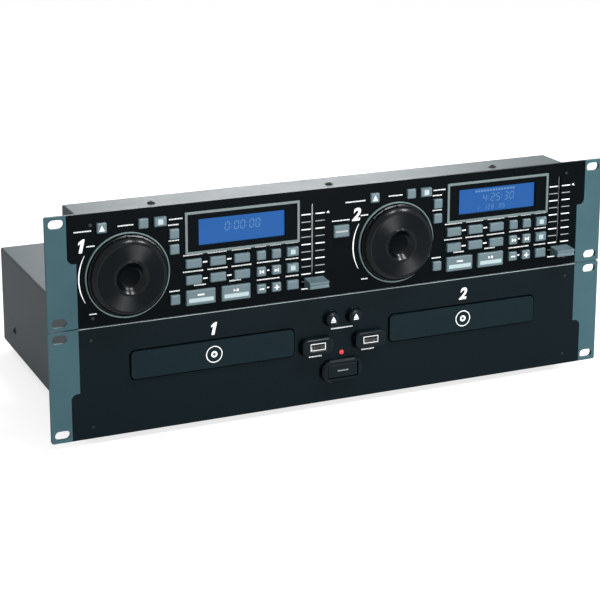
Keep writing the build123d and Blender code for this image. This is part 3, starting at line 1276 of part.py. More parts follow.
# Round control sockets of both units, their faces just proud of the rear walls
DIN_ROWS = [
    (PLAYER_DEPTH, [(x, DIN_Z) for x in DIN_XS]),
    (CONTROLLER_DEPTH, [(x, deck_height(CONTROLLER_DIN_Z)) for x in CONTROLLER_DIN_XS]),
]
with BuildPart() as control_sockets:
    for wall_back_d, din_places in DIN_ROWS:
        with BuildSketch(front_plane(wall_back_d - SHEET_T)):
            with Locations(*din_places):
                Rectangle(DIN_BLOCK, DIN_BLOCK)
        extrude(amount=DIN_BLOCK_D)
        with BuildSketch(front_plane(wall_back_d + DIN_PROUD)):
            with Locations(*din_places):
                RegularPolygon(DIN_R, ROUND_SIDES)
        extrude(amount=DIN_PROUD + SHEET_T)
        with BuildSketch(front_plane(wall_back_d + DIN_PROUD)):
            with Locations(*din_places):
                RegularPolygon(DIN_FACE_R, ROUND_SIDES)
                Rectangle(DIN_KEY_W, DIN_KEY_W, mode=Mode.SUBTRACT)
        extrude(amount=DIN_RECESS, mode=Mode.SUBTRACT)

# Mains inlet: flange outside the rear wall, body inside, three flat pins in its cavity
with BuildPart() as mains_inlet:
    inlet_place = (INLET_X, player_height(INLET_Z))
    with BuildSketch(front_plane(PLAYER_DEPTH + INLET_FLANGE_T)):
        with Locations(inlet_place):
            Rectangle(INLET_W, INLET_H)
    extrude(amount=INLET_FLANGE_T)
    with BuildSketch(front_plane(PLAYER_DEPTH)):
        with Locations(inlet_place):
            Rectangle(INLET_BODY_W, INLET_BODY_H)
    extrude(amount=INLET_BODY_D)
    with BuildSketch(front_plane(PLAYER_DEPTH + INLET_FLANGE_T)):
        with Locations(inlet_place):
            Rectangle(INLET_CAVITY_W, INLET_CAVITY_H)
    extrude(amount=INLET_CAVITY_D, mode=Mode.SUBTRACT)
    pin_foot_d = PLAYER_DEPTH + INLET_FLANGE_T - INLET_CAVITY_D
    with BuildSketch(front_plane(pin_foot_d + INLET_PIN_L)):
        with Locations((INLET_X, inlet_place[1] + INLET_PIN_Z)):
            with GridLocations(INLET_PIN_SPACING, 1, 3, 1):
                Rectangle(INLET_PIN_W, INLET_PIN_H)
    extrude(amount=INLET_PIN_L)

# ---------------------------------------------------------------- write one STEP for each piece
os.makedirs("parts", exist_ok=True)

SINGLE_PIECES = {
    "player_front_panel": player_front_panel,
    "player_base": player_base,
    "player_cover": player_cover,
    "case_screws": case_screws,
    "rubber_feet": rubber_feet,
    "panel_screws": panel_screws,
    "mains_inlet": mains_inlet,
    "audio_sockets": audio_sockets,
    "control_sockets": control_sockets,
    "circuit_boards": circuit_boards,
    "power_supply": power_supply,
    "drive_frames": drive_frames,
    "disc_clamps": disc_clamps,
    "power_bezel": power_bezel,
    "power_button": power_button,
    "power_led": power_led,
    "usb_bezels": usb_bezels,
    "usb_sockets": usb_sockets,
    "eject_collars": eject_collars,
    "controller_front_panel": controller_front_panel,
    "controller_case": controller_case,
    "display_frames": display_frames,
    "lcd_panels": lcd_panels,
    "lcd_holders": lcd_holders,
    "jog_bezels": jog_bezels,
    "jog_encoders": jog_encoders,
    "fader_bodies": fader_bodies,
    "relay_key": relay_key,
}
for piece_name, piece in SINGLE_PIECES.items():
    save(piece, piece_name)

PIECES_PER_DECK = {
    "disc_tray": disc_trays,
    "tray_door": tray_doors,
    "disc_spindle": disc_spindles,
    "laser_pickup": laser_pickups,
    "eject_button": eject_buttons,
    "jog_wheel": jog_wheels,
    "fader_knob": fader_knobs,
}
for piece_name, pair in PIECES_PER_DECK.items():
    for number, piece in enumerate(pair, start=1):
        save(piece, f"{piece_name}_{number}")

for group_name, piece in deck_key_groups.items():
    save(piece, group_name)
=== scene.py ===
"""Looks of the twin disc player: finishes, prints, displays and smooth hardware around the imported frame.

Lengths are metres in the frame's own axes: +X to the user's right, +Y into the rack, +Z up.
Places on a unit are counted from the lower edge of that unit's front panel.
"""
import json
from math import cos, hypot, pi, radians, sin

import bmesh
import bpy
from mathutils import Matrix, Vector

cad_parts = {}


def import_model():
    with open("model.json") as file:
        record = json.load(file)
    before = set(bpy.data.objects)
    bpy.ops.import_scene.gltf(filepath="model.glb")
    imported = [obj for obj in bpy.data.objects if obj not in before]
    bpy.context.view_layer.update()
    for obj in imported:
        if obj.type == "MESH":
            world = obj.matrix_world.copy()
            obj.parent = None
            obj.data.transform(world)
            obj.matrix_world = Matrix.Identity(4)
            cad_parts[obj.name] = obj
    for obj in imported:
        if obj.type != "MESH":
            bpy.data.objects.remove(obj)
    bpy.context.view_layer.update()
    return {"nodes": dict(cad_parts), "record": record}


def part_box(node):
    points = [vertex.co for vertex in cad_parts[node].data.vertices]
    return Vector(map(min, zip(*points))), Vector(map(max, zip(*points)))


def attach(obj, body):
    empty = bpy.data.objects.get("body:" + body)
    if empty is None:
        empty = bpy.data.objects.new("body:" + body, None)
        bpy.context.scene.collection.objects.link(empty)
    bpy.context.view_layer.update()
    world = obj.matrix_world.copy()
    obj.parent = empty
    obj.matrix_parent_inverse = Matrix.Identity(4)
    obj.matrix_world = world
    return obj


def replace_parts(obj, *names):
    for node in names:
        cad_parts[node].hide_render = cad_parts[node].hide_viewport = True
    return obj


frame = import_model()
nodes = frame["nodes"]

MM = 0.001
DECKS = (1, 2)
ROOT = "rack_set"

# ---------------------------------------------------------------- places read from the frame
player_low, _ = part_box("player_front_panel")
control_low, control_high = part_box("controller_front_panel")
FRONT = control_low.y
PLAYER_Z = player_low.z
CONTROL_Z = control_low.z
PANEL_H = control_high.z - control_low.z


def centre(node):
    """Middle of a node's box at rest."""
    low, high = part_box(node)
    return (low + high) / 2


def solids(node):
    """Boxes of a node's separate solids, top row first and each row from left to right."""
    mesh = bmesh.new()
    mesh.from_mesh(nodes[node].data)
    bmesh.ops.remove_doubles(mesh, verts=mesh.verts, dist=1e-6)
    unseen = set(mesh.verts)
    boxes = []
    while unseen:
        stack = [unseen.pop()]
        found = list(stack)
        while stack:
            for edge in stack.pop().link_edges:
                for vert in edge.verts:
                    if vert in unseen:
                        unseen.remove(vert)
                        stack.append(vert)
                        found.append(vert)
        low = Vector([min(v.co[axis] for v in found) for axis in range(3)])
        high = Vector([max(v.co[axis] for v in found) for axis in range(3)])
        boxes.append((low, high))
    mesh.free()
    return sorted(boxes, key=lambda box: (-round(box[0].z, 3), box[0].x))


JOGS = {n: centre(f"jog_wheel_{n}") for n in DECKS}
FADERS = {n: centre(f"fader_knob_{n}") for n in DECKS}

# ---------------------------------------------------------------- node-based finishes
EAR_TEAL = (0.050, 0.103, 0.121)
PRINT_BLACK = (0.0010, 0.0024, 0.0033)
SATIN_BLACK = (0.0034, 0.0078, 0.0102)
# Light grey of a painted highlight along the top edge of the panels' black print
EDGE_HIGHLIGHT_GREY = (0.360, 0.420, 0.430)
CASE_GREY = (0.066, 0.083, 0.090)
KEY_GREY = (0.090, 0.140, 0.160)
LINE_GREY = (0.155, 0.220, 0.220)
FRAME_GREY = (0.085, 0.125, 0.130)
DOOR_BLACK = (0.006, 0.014, 0.018)
DEEP_BLACK = (0.0060, 0.0070, 0.0080)
LCD_BLUE = (0.018, 0.120, 0.410)
LCD_INK = (0.130, 0.290, 0.560)
LAMP_RED = (0.750, 0.060, 0.070)
PRINT_WHITE = (0.930, 0.950, 0.950)
BLOTCH_SIZE = 14 * MM
BLOTCH_SHARE = 0.6
GLOSS_SPREAD = 0.12
# Black print on the panels: half widths, rounded corner, and the depth past which the metal isn't printed
PRINT_WIDE = 225 * MM
PRINT_NARROW = 218 * MM
PRINT_CORNER_R = 5 * MM
PRINT_REACH_D = 2.5 * MM
RING_PITCH = 0.5 * MM


def calc(tree, operation, *values):
    """A Math node on sockets or numbers."""
    node = tree.nodes.new("ShaderNodeMath")
    node.operation = operation
    for socket, value in zip(node.inputs, values):
        if isinstance(value, bpy.types.NodeSocket):
            tree.links.new(value, socket)
        else:
            socket.default_value = value
    return node.outputs[0]


def blend_colours(tree, share, low, high):
    """A colour that goes from low to high with share."""
    node = tree.nodes.new("ShaderNodeMix")
    node.data_type = "RGBA"
    tree.links.new(share, node.inputs["Factor"])
    for socket, value in ((node.inputs[6], low), (node.inputs[7], high)):
        if isinstance(value, bpy.types.NodeSocket):
            tree.links.new(value, socket)
        else:
            socket.default_value = (*value, 1)
    return node.outputs[2]


def noise(tree, coords, size):
    """Noise whose grains are about this size."""
    mapping = tree.nodes.new("ShaderNodeMapping")
    mapping.inputs["Scale"].default_value = [1 / size] * 3
    texture = tree.nodes.new("ShaderNodeTexNoise")
    texture.inputs["Scale"].default_value = 1.0
    texture.inputs["Detail"].default_value = 3.0
    tree.links.new(coords, mapping.inputs["Vector"])
    tree.links.new(mapping.outputs["Vector"], texture.inputs["Vector"])
    return texture.outputs["Fac"]


def bump(tree, height, depth):
    """Normals of a height field whose full range is this depth."""
    node = tree.nodes.new("ShaderNodeBump")
    node.inputs["Strength"].default_value = 1.0
    node.inputs["Distance"].default_value = depth
    tree.links.new(height, node.inputs["Height"])
    return node.outputs["Normal"]


def new_material(name):
    """An empty material with its shader and the object's own coordinates."""
    material = bpy.data.materials.new(name)
    material.use_nodes = True
    tree = material.node_tree
    shader = tree.nodes["Principled BSDF"]
    coords = tree.nodes.new("ShaderNodeTexCoord").outputs["Object"]
    return material, tree, shader, coords


def spread_round(colour, less, more):
    """A darker and a lighter tone of a colour."""
    return [c * (1 - less) for c in colour], [c * (1 + more) for c in colour]


def finish(name, colour, roughness, metallic=0.0, specular=0.5, grain=1.2 * MM, depth=0.02 * MM, spread=0.12):
    """A painted, moulded or metal finish: mottled colour, uneven gloss and a fine grain."""
    material, tree, shader, coords = new_material(name)
    blotches = calc(tree, "MULTIPLY", noise(tree, coords, BLOTCH_SIZE), BLOTCH_SHARE)
    fine = noise(tree, coords, grain)
    mixed = calc(tree, "ADD", blotches, calc(tree, "MULTIPLY", fine, 1 - BLOTCH_SHARE))
    tones = spread_round(colour, spread, spread)
    tree.links.new(blend_colours(tree, mixed, *tones), shader.inputs["Base Color"])
    uneven = calc(tree, "MULTIPLY_ADD", mixed, GLOSS_SPREAD, roughness - GLOSS_SPREAD / 2)
    tree.links.new(uneven, shader.inputs["Roughness"])
    if depth:
        tree.links.new(bump(tree, fine, depth), shader.inputs["Normal"])
    shader.inputs["Metallic"].default_value = metallic
    shader.inputs["Specular IOR Level"].default_value = specular
    return material


def panel_finish(name, ink, low_z, wide_above, step, highlight_line, sheen):
    """Paint of a rack panel: teal ears, black print that is wider past a step, and a painted highlight line
    at its top.
    """
    material, tree, shader, coords = new_material(name)
    split = tree.nodes.new("ShaderNodeSeparateXYZ")
    tree.links.new(coords, split.inputs[0])
    aside = calc(tree, "ABSOLUTE", split.outputs["X"])
    height = calc(tree, "SUBTRACT", split.outputs["Z"], low_z)
    past_step = calc(tree, "SUBTRACT", height, step)
    if not wide_above:
        past_step = calc(tree, "MULTIPLY", past_step, -1.0)
    # Distance outside the wide part, whose outer corner is rounded
    over_x = calc(tree, "MAXIMUM", calc(tree, "SUBTRACT", aside, PRINT_WIDE - PRINT_CORNER_R), 0.0)
    over_z = calc(tree, "MAXIMUM", calc(tree, "SUBTRACT", PRINT_CORNER_R, past_step), 0.0)
    reach = calc(tree, "SQRT", calc(tree, "ADD", calc(tree, "POWER", over_x, 2.0),
                                    calc(tree, "POWER", over_z, 2.0)))
    in_wide = calc(tree, "LESS_THAN", reach, PRINT_CORNER_R)
    in_narrow = calc(tree, "LESS_THAN", aside, PRINT_NARROW)
    not_behind = calc(tree, "LESS_THAN", split.outputs["Y"], FRONT + PRINT_REACH_D)
    black = calc(tree, "MULTIPLY", calc(tree, "MAXIMUM", in_wide, in_narrow), not_behind)
    # Painted highlight: the black print turns light grey in a line along the panel's top edge, where light
    # falls on it
    edge = calc(tree, "MULTIPLY", black, calc(tree, "GREATER_THAN", height, PANEL_H - highlight_line))
    blotches = noise(tree, coords, 30 * MM)
    fine = noise(tree, coords, 0.5 * MM)
    teal = blend_colours(tree, blotches, *spread_round(EAR_TEAL, 0.1, 0.12))
    printed = blend_colours(tree, black, teal, ink)
    tree.links.new(blend_colours(tree, edge, printed, EDGE_HIGHLIGHT_GREY), shader.inputs["Base Color"])
    gloss = calc(tree, "MULTIPLY_ADD", black, -0.06, 0.42)
    tree.links.new(calc(tree, "MULTIPLY_ADD", fine, 0.08, gloss), shader.inputs["Roughness"])
    tree.links.new(bump(tree, fine, 0.01 * MM), shader.inputs["Normal"])
    shader.inputs["Specular IOR Level"].default_value = sheen
    return material


def glow_finish(name, colour, base=DEEP_BLACK):
    """A smooth surface that shines by itself, a little unevenly."""
    material, tree, shader, coords = new_material(name)
    uneven = calc(tree, "MULTIPLY_ADD", noise(tree, coords, 25 * MM), 0.3, 0.85)
    tones = spread_round(colour, 0.14, 0.0)
    tree.links.new(blend_colours(tree, uneven, *tones), shader.inputs["Emission Color"])
    shader.inputs["Emission Strength"].default_value = 1.0
    shader.inputs["Base Color"].default_value = (*base, 1)
    shader.inputs["Roughness"].default_value = 0.2
    shader.inputs["Specular IOR Level"].default_value = 0.05
    return material


def platter_finish(name):
    """Black lacquer turned in fine rings, which draws highlights out into wedges."""
    material, tree, shader, coords = new_material(name)
    split = tree.nodes.new("ShaderNodeSeparateXYZ")
    tree.links.new(coords, split.inputs[0])
    radius = calc(tree, "SQRT", calc(tree, "ADD", calc(tree, "POWER", split.outputs["X"], 2.0),
                                     calc(tree, "POWER", split.outputs["Z"], 2.0)))
    rings = calc(tree, "SINE", calc(tree, "MULTIPLY", radius, 2 * pi / RING_PITCH))
    tree.links.new(bump(tree, rings, 0.006 * MM), shader.inputs["Normal"])
    tangent = tree.nodes.new("ShaderNodeTangent")
    tangent.direction_type = "RADIAL"
    tangent.axis = "Y"
    tree.links.new(tangent.outputs[0], shader.inputs["Tangent"])
    shader.inputs["Anisotropic"].default_value = 0.97
    shader.inputs["Anisotropic Rotation"].default_value = 0.25
    mottled = blend_colours(tree, noise(tree, coords, 6 * MM), *spread_round(PRINT_BLACK, 0.2, 0.3))
    tree.links.new(mottled, shader.inputs["Base Color"])
    shader.inputs["Roughness"].default_value = 0.33
    shader.inputs["Specular IOR Level"].default_value = 0.09
    return material


CASE = {"roughness": 0.5, "specular": 0.035, "grain": 0.5 * MM, "depth": 0.03 * MM}
FINISHES = {
    "case_paint": finish("case_powder_paint", CASE_GREY, **CASE),
    "base_steel": finish("base_paint", CASE_GREY, **CASE),
    "black_screw": finish("black_oxide", DEEP_BLACK, 0.35, specular=0.2, grain=0.4 * MM),
    "rubber": finish("foot_rubber", (0.012, 0.012, 0.012), 0.75, grain=0.8 * MM, depth=0.05 * MM),
    "black_plastic": finish("black_plastic", DEEP_BLACK, 0.5, specular=0.12),
    "gloss_black": finish("gloss_black_plastic", SATIN_BLACK, 0.2, specular=0.09, depth=0.004 * MM),
    "white_plastic": finish("white_plastic", (0.55, 0.55, 0.53), 0.45),
    "socket_metal": finish("plated_metal", (0.80, 0.81, 0.82), 0.25, metallic=1.0, grain=0.3 * MM,
                           depth=0.005 * MM),
    "board": finish("solder_mask", (0.020, 0.090, 0.040), 0.4, grain=1.5 * MM),
    "grey_plastic": finish("light_line_plastic", LINE_GREY, 0.42, grain=0.5 * MM, depth=0.008 * MM),
    "key_grey": finish("key_plastic", KEY_GREY, 0.36, specular=0.3, grain=0.35 * MM, depth=0.008 * MM,
                       spread=0.06),
    "blue_display": glow_finish("display_glass", LCD_BLUE),
    "red_lens": glow_finish("red_lens", LAMP_RED, base=(0.3, 0.02, 0.02)),
}
GLOSS_PLASTIC = FINISHES["gloss_black"]
DOOR = finish("door_plastic", DOOR_BLACK, 0.34, specular=0.04, depth=0.006 * MM)
# Nodes whose finish isn't their slot's. The player's print is narrow over a step and ends in a painted
# highlight line at its top
OWN_FINISHES = {
    "player_front_panel": panel_finish("player_panel_paint", SATIN_BLACK, PLAYER_Z, wide_above=False,
                                       step=37.5 * MM, highlight_line=0.45 * MM, sheen=0.035),
    "controller_front_panel": panel_finish("control_panel_paint", PRINT_BLACK, CONTROL_Z, wide_above=True,
                                           step=50.6 * MM, highlight_line=-1.0 * MM, sheen=0.02),
    "tray_door_1": DOOR,
    "tray_door_2": DOOR,
    "display_frames": finish("display_frame_plastic", FRAME_GREY, 0.4, grain=0.5 * MM, depth=0.008 * MM),
}
WHITE_INK = finish("white_ink", PRINT_WHITE, 0.5, grain=0.3 * MM, depth=0.0, spread=0.05)
DIM_INK = finish("grey_ink", (0.33, 0.35, 0.36), 0.5, grain=0.3 * MM, depth=0.0, spread=0.05)
LCD_LIGHT = glow_finish("display_segments", LCD_INK)
LIT_WINDOW = finish("pale_window", (0.36, 0.46, 0.48), 0.35, grain=0.3 * MM, depth=0.004 * MM, spread=0.05)
JACK_RED = finish("red_plastic", (0.45, 0.02, 0.02), 0.4, grain=0.4 * MM, depth=0.005 * MM)
GOLD = finish("plated_contacts", (0.80, 0.62, 0.28), 0.3, metallic=1.0, grain=0.3 * MM, depth=0.003 * MM)
RINGED_LACQUER = platter_finish("turned_lacquer")
LACQUER = finish("smooth_lacquer", PRINT_BLACK, 0.22, specular=0.16, depth=0.0)
BOWL = finish("bowl_lacquer", PRINT_BLACK, 0.3, specular=0.02, depth=0.0)
# Widths of the rounding of frame pieces' edges, in millimetres
KEY_ROUNDING = 0.6
ROUNDINGS = {"power_bezel": 0.7, "power_button": 0.4, "usb_bezels": 0.7, "mains_inlet": 0.3,
             "tray_door_1": 0.25, "tray_door_2": 0.25, "display_frames": 0.15}


def soften(obj, width):
    """Round a frame piece's edges with modifiers, which leave its mesh as it is."""
    weld = obj.modifiers.new("weld", "WELD")
    weld.merge_threshold = 1e-6
    bevel = obj.modifiers.new("bevel", "BEVEL")
    bevel.width = width * MM
    bevel.segments = 3
    bevel.limit_method = "ANGLE"
    bevel.angle_limit = radians(40)


for part in frame["record"]["subparts"]:
    node, slot = part["node"], part["material_slot"]
    nodes[node].data.materials.clear()
    nodes[node].data.materials.append(OWN_FINISHES.get(node) or FINISHES[slot])
    if slot == "key_grey":
        soften(nodes[node], KEY_ROUNDING)
for node, width in ROUNDINGS.items():
    soften(nodes[node], width)

# ---------------------------------------------------------------- mesh helpers, in millimetres
CONTROL = CONTROL_Z / MM
PLAYER = PLAYER_Z / MM
INK = 0.05
NUMBER_SLANT = 0.24
TYPE_HEIGHT = 0.76  # of a digit in the built-in typeface, for a size of 1
TO_USER = (0, -1, 0)
TO_REAR = (0, 1, 0)


def world(x, depth, z):
    """A point in metres from millimetres: across, behind the panels' front, and up."""
    return Vector((x * MM, FRONT + depth * MM, z * MM))


def spot(x, depth, z, direction=TO_USER):
    """Axes at a point of the set, with their Z along a direction."""
    turn = Vector(direction).to_track_quat("Z", "Y").to_matrix().to_4x4()
    return Matrix.Translation(world(x, depth, z)) @ turn


def add_prism(mesh, outline, back, front, hole=None):
    """Extrude an outline of (x, z) points between two depths; a hole has as many points."""
    rings = [[[mesh.verts.new(world(x, depth, z)) for x, z in points] for depth in (front, back)]
             for points in ((outline, hole) if hole else (outline,))]
    count = len(outline)
    for near, far in rings:
        for k in range(count):
            mesh.faces.new((near[k - 1], near[k], far[k], far[k - 1]))
    for layer in (0, 1):
        if hole:
            outer, inner = rings[0][layer], rings[1][layer]
            for k in range(count):
                mesh.faces.new((outer[k - 1], outer[k], inner[k], inner[k - 1]))
        else:
            mesh.faces.new(rings[0][layer])


def add_ink(mesh, outline, front=0.0, hole=None):
    """Print an outline on a face at this depth."""
    add_prism(mesh, outline, front, front - INK, hole)


def add_turned(mesh, place, profile, steps, closed=False):
    """Turn (radius, height) points about the Z of place; a closed profile makes a ring."""
    rings = []
    for radius, height in profile:
        count = steps if radius else 1
        angles = [2 * pi * k / count for k in range(count)]
        rings.append([mesh.verts.new(place @ (MM * Vector((radius * cos(a), radius * sin(a), height))))
                      for a in angles])
    pairs = list(zip(rings, rings[1:]))
    if closed:
        pairs.append((rings[-1], rings[0]))
    for low, high in pairs:
        for k in range(steps):
            corners = (low[(k - 1) % len(low)], low[k % len(low)],
                       high[k % len(high)], high[(k - 1) % len(high)])
            mesh.faces.new(list(dict.fromkeys(corners)))


def block(x0, z0, x1, z1):
    """Corners of a rectangle."""
    return [(x0, z0), (x1, z0), (x1, z1), (x0, z1)]


def rounded(x0, z0, x1, z1, radius, steps):
    """Outline of a rectangle with rounded corners."""
    corners = ((x1 - radius, z0 + radius, -90), (x1 - radius, z1 - radius, 0),
               (x0 + radius, z1 - radius, 90), (x0 + radius, z0 + radius, 180))
    angles = [radians(90 * k / steps) for k in range(steps + 1)]
    return [(cx + radius * cos(radians(start) + a), cz + radius * sin(radians(start) + a))
            for cx, cz, start in corners for a in angles]


def circle(x, z, radius, steps=48):
    """Points round a circle."""
    angles = [2 * pi * k / steps for k in range(steps)]
    return [(x + radius * cos(a), z + radius * sin(a)) for a in angles]


def make_piece(name, mesh, material, body, bevel=0.0, angle=30, origin=None):
    """Turn a finished mesh into a shown piece that rides on a body."""
    bmesh.ops.recalc_face_normals(mesh, faces=mesh.faces)
    if origin:
        bmesh.ops.translate(mesh, verts=mesh.verts, vec=-origin)
    data = bpy.data.meshes.new(name)
    mesh.to_mesh(data)
    mesh.free()
    data.materials.append(material)
    data.shade_smooth()
    data.set_sharp_from_angle(angle=radians(angle))
    piece = bpy.data.objects.new(name, data)
    if origin:
        piece.location = origin
    bpy.context.scene.collection.objects.link(piece)
    if bevel:
        modifier = piece.modifiers.new("bevel", "BEVEL")
        modifier.width = bevel * MM
        modifier.segments = 3
        modifier.limit_method = "ANGLE"
        modifier.angle_limit = radians(angle)
        modifier.harden_normals = True
    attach(piece, body)
    return piece


def make_number(name, n, x, z, height, body):
    """Plain slanted number on a front face: a drawn 1, or a thickened 2 from the built-in typeface."""
    if n == 1:
        mesh = bmesh.new()
        shape = [(-0.05, 0), (0.19, 0), (0.19, 1), (0.02, 1), (-0.22, 0.80), (-0.22, 0.60), (-0.05, 0.70)]
        shape = [(px + NUMBER_SLANT * (pz - 0.5), pz - 0.5) for px, pz in shape]
        add_ink(mesh, [(x + height * px, z + height * pz) for px, pz in shape])
        make_piece(name, mesh, WHITE_INK, body)
        return
    data = bpy.data.curves.new(name, "FONT")
    data.body = str(n)
    data.size = height / TYPE_HEIGHT * MM
    data.shear = NUMBER_SLANT
    data.offset = 0.045 * height * MM
    data.extrude = INK / 2 * MM
    data.align_x = "CENTER"
    data.align_y = "CENTER"
    data.materials.append(WHITE_INK)
    number = bpy.data.objects.new(name, data)
    number.location = world(x, -INK / 2, z)
    number.rotation_euler = (pi / 2, 0, 0)
    bpy.context.scene.collection.objects.link(number)
    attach(number, body)


def middle_of(box):
    """Middle of a box of boxes_mm, across and up."""
    x0, z0, x1, z1, _ = box
    return (x0 + x1) / 2, (z0 + z1) / 2


def boxes_mm(node):
    """A node's separate solids as (x0, z0, x1, z1, front depth), in millimetres."""
    return [(low.x / MM, low.z / MM, high.x / MM, high.z / MM, (low.y - FRONT) / MM)
            for low, high in solids(node)]


# ---------------------------------------------------------------- jog wheels and their rings
JOG_STEPS = 160
# From the back of the clip, round the skirt, the grip band, the bevel and the face, into the finger bowl
JOG_PROFILE = [
    (0, -13.3), (4.5, -13.3), (4.5, -12.3), (3.0, -12.3), (3.0, 1.0), (31.3, 1.0), (31.5, 1.2), (31.5, 2.5),
    (31.2, 2.8), (30.4, 2.9), (30.2, 3.2), (30.1, 6.9), (29.9, 7.3), (27.5, 9.7), (27.1, 9.9), (26.8, 9.9),
    (26.6, 9.6), (26.0, 9.6), (25.8, 9.9), (14.1, 9.9), (13.9, 9.8), (13.4, 9.8), (13.2, 10.0), (13.0, 10.4),
    (12.7, 10.7), (12.2, 10.7), (11.9, 10.4), (9.8, 8.3), (8.9, 7.1), (7.8, 6.3), (7.2, 6.2), (0, 6.1),
]
RINGED_FROM_R = 14.0
RINGED_TO_R = 25.9
RINGED_HEIGHT = 9.8
BOWL_FLOOR_R = 7.5
TRIM_PROFILE = [(33.4, 0), (33.4, 1.1), (33.2, 1.45), (32.9, 1.6), (32.6, 1.45), (32.3, 1.1), (32.3, 0)]
STUD_COUNT = 16
STUD_PROFILE = [(0, -1.0), (1.1, -1.0), (1.1, 0.7), (0.8, 1.05), (0, 1.15)]
STUD_STEPS = 16
STUD_R = 29.7
STUD_D = -4.5


def make_jog(n):
    """Turned wheel with its skirt, gripping studs, bevelled lip, ringed face and finger bowl."""
    x, z = JOGS[n].x / MM, JOGS[n].z / MM
    mesh = bmesh.new()
    add_turned(mesh, spot(x, 0, z), JOG_PROFILE, JOG_STEPS)
    wheel = make_piece(f"platter_{n}", mesh, RINGED_LACQUER, f"jog_{n}", angle=24,
                       origin=world(x, 0, z))
    wheel.data.materials.append(LACQUER)
    wheel.data.materials.append(BOWL)
    for face in wheel.data.polygons:
        radius = hypot(face.center.x, face.center.z) / MM
        height = -face.center.y / MM
        if radius < BOWL_FLOOR_R:
            face.material_index = 2
        elif not (RINGED_FROM_R < radius < RINGED_TO_R and height >= RINGED_HEIGHT):
            face.material_index = 1
    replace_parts(wheel, f"jog_wheel_{n}")
    mesh = bmesh.new()
    for k in range(STUD_COUNT):
        turn = Matrix.Rotation(2 * pi * k / STUD_COUNT, 4, "Y")
        outward = Matrix.Translation((STUD_R * MM, 0, 0)) @ Matrix.Rotation(pi / 2, 4, "Y")
        place = Matrix.Translation(world(x, STUD_D, z)) @ turn @ outward
        add_turned(mesh, place, STUD_PROFILE, STUD_STEPS)
    make_piece(f"platter_studs_{n}", mesh, GLOSS_PLASTIC, f"jog_{n}")


mesh = bmesh.new()
for n in DECKS:
    add_turned(mesh, spot(JOGS[n].x / MM, 0, JOGS[n].z / MM), TRIM_PROFILE, JOG_STEPS, closed=True)
    make_jog(n)
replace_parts(make_piece("jog_trim_rings", mesh, FINISHES["grey_plastic"], ROOT), "jog_bezels")

# ---------------------------------------------------------------- eject buttons and the lamp
EJECT_PROFILE = [(0, -5.3), (5.0, -5.3), (5.0, -4.3), (5.9, -4.3), (5.9, 4.6), (5.6, 5.3), (5.0, 5.8),
                 (4.3, 6.0), (0, 6.0)]
EJECT_TOP = -6.0
COLLAR_PROFILE = [(6.85, -4.0), (6.85, 0.9), (6.65, 1.4), (6.45, 1.6), (6.25, 1.4), (6.2, 0.9), (6.2, -4.0)]
BUTTON_STEPS = 64
LAMP_PROFILE = [(0, -12.0), (1.9, -12.0), (1.9, -0.2), (1.75, 0.2), (1.3, 0.45), (0.7, 0.58), (0, 0.6)]


def make_eject_button(n, rims):
    """Round cap, its sign of a triangle over a bar, and the rim that it runs in."""
    place = centre(f"eject_button_{n}")
    x, z = place.x / MM, place.z / MM
    mesh = bmesh.new()
    add_turned(mesh, spot(x, 0, z), EJECT_PROFILE, BUTTON_STEPS)
    cap = make_piece(f"eject_cap_{n}", mesh, GLOSS_PLASTIC, f"eject_{n}", angle=40)
    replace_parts(cap, f"eject_button_{n}")
    add_turned(rims, spot(x, 0, z), COLLAR_PROFILE, BUTTON_STEPS, closed=True)
    mesh = bmesh.new()
    add_ink(mesh, [(x - 2.1, z - 1.0), (x + 2.1, z - 1.0), (x, z + 2.4)], EJECT_TOP)
    add_ink(mesh, block(x - 2.1, z - 2.5, x + 2.1, z - 1.6), EJECT_TOP)
    make_piece(f"eject_sign_{n}", mesh, WHITE_INK, f"eject_{n}")


rims = bmesh.new()
for n in DECKS:
    make_eject_button(n, rims)
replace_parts(make_piece("eject_rims", rims, GLOSS_PLASTIC, ROOT, angle=40), "eject_collars")

mesh = bmesh.new()
lamp_place = centre("power_led")
add_turned(mesh, spot(lamp_place.x / MM, 0, lamp_place.z / MM), LAMP_PROFILE, 32)
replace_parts(make_piece("lamp_dome", mesh, FINISHES["red_lens"], ROOT, angle=60), "power_led")

# ---------------------------------------------------------------- screws and feet
CASE_HALF_W = 214
SCREW_HEAD_R = 3.2
SCREW_HEAD_H = 1.7
SCREW_SHANK_R = 1.45
SCREW_SHANK_L = 4.8
SCREW_RINGS = 14
CROSS_W = 0.16 * SCREW_HEAD_R
CROSS_L = 0.58 * SCREW_HEAD_R
CROSS_DEPTH = 0.55 * SCREW_HEAD_H


def add_screw(mesh, place):
    """A domed screw whose head sits on the origin of place, with a cross pressed into the dome."""
    profile = [(0, -SCREW_SHANK_L), (SCREW_SHANK_R, -SCREW_SHANK_L), (SCREW_SHANK_R, 0), (SCREW_HEAD_R, 0),
               (SCREW_HEAD_R, 0.25 * SCREW_HEAD_H)]
    for k in range(1, SCREW_RINGS):
        left = 1 - k / SCREW_RINGS
        profile.append((SCREW_HEAD_R * left, SCREW_HEAD_H * (0.25 + 0.75 * (1 - left ** 2.6))))
    start = len(mesh.verts)
    add_turned(mesh, place, profile + [(0, SCREW_HEAD_H)], 48)
    mesh.verts.ensure_lookup_table()
    back = place.inverted()
    push = (place.to_3x3() @ Vector((0, 0, -1))) * CROSS_DEPTH * MM
    for vert in mesh.verts[start:]:
        local = back @ vert.co / MM
        across, along = sorted((abs(local.x), abs(local.y)))
        if local.z > 0.5 * SCREW_HEAD_H and across < CROSS_W and along < CROSS_L:
            vert.co += push


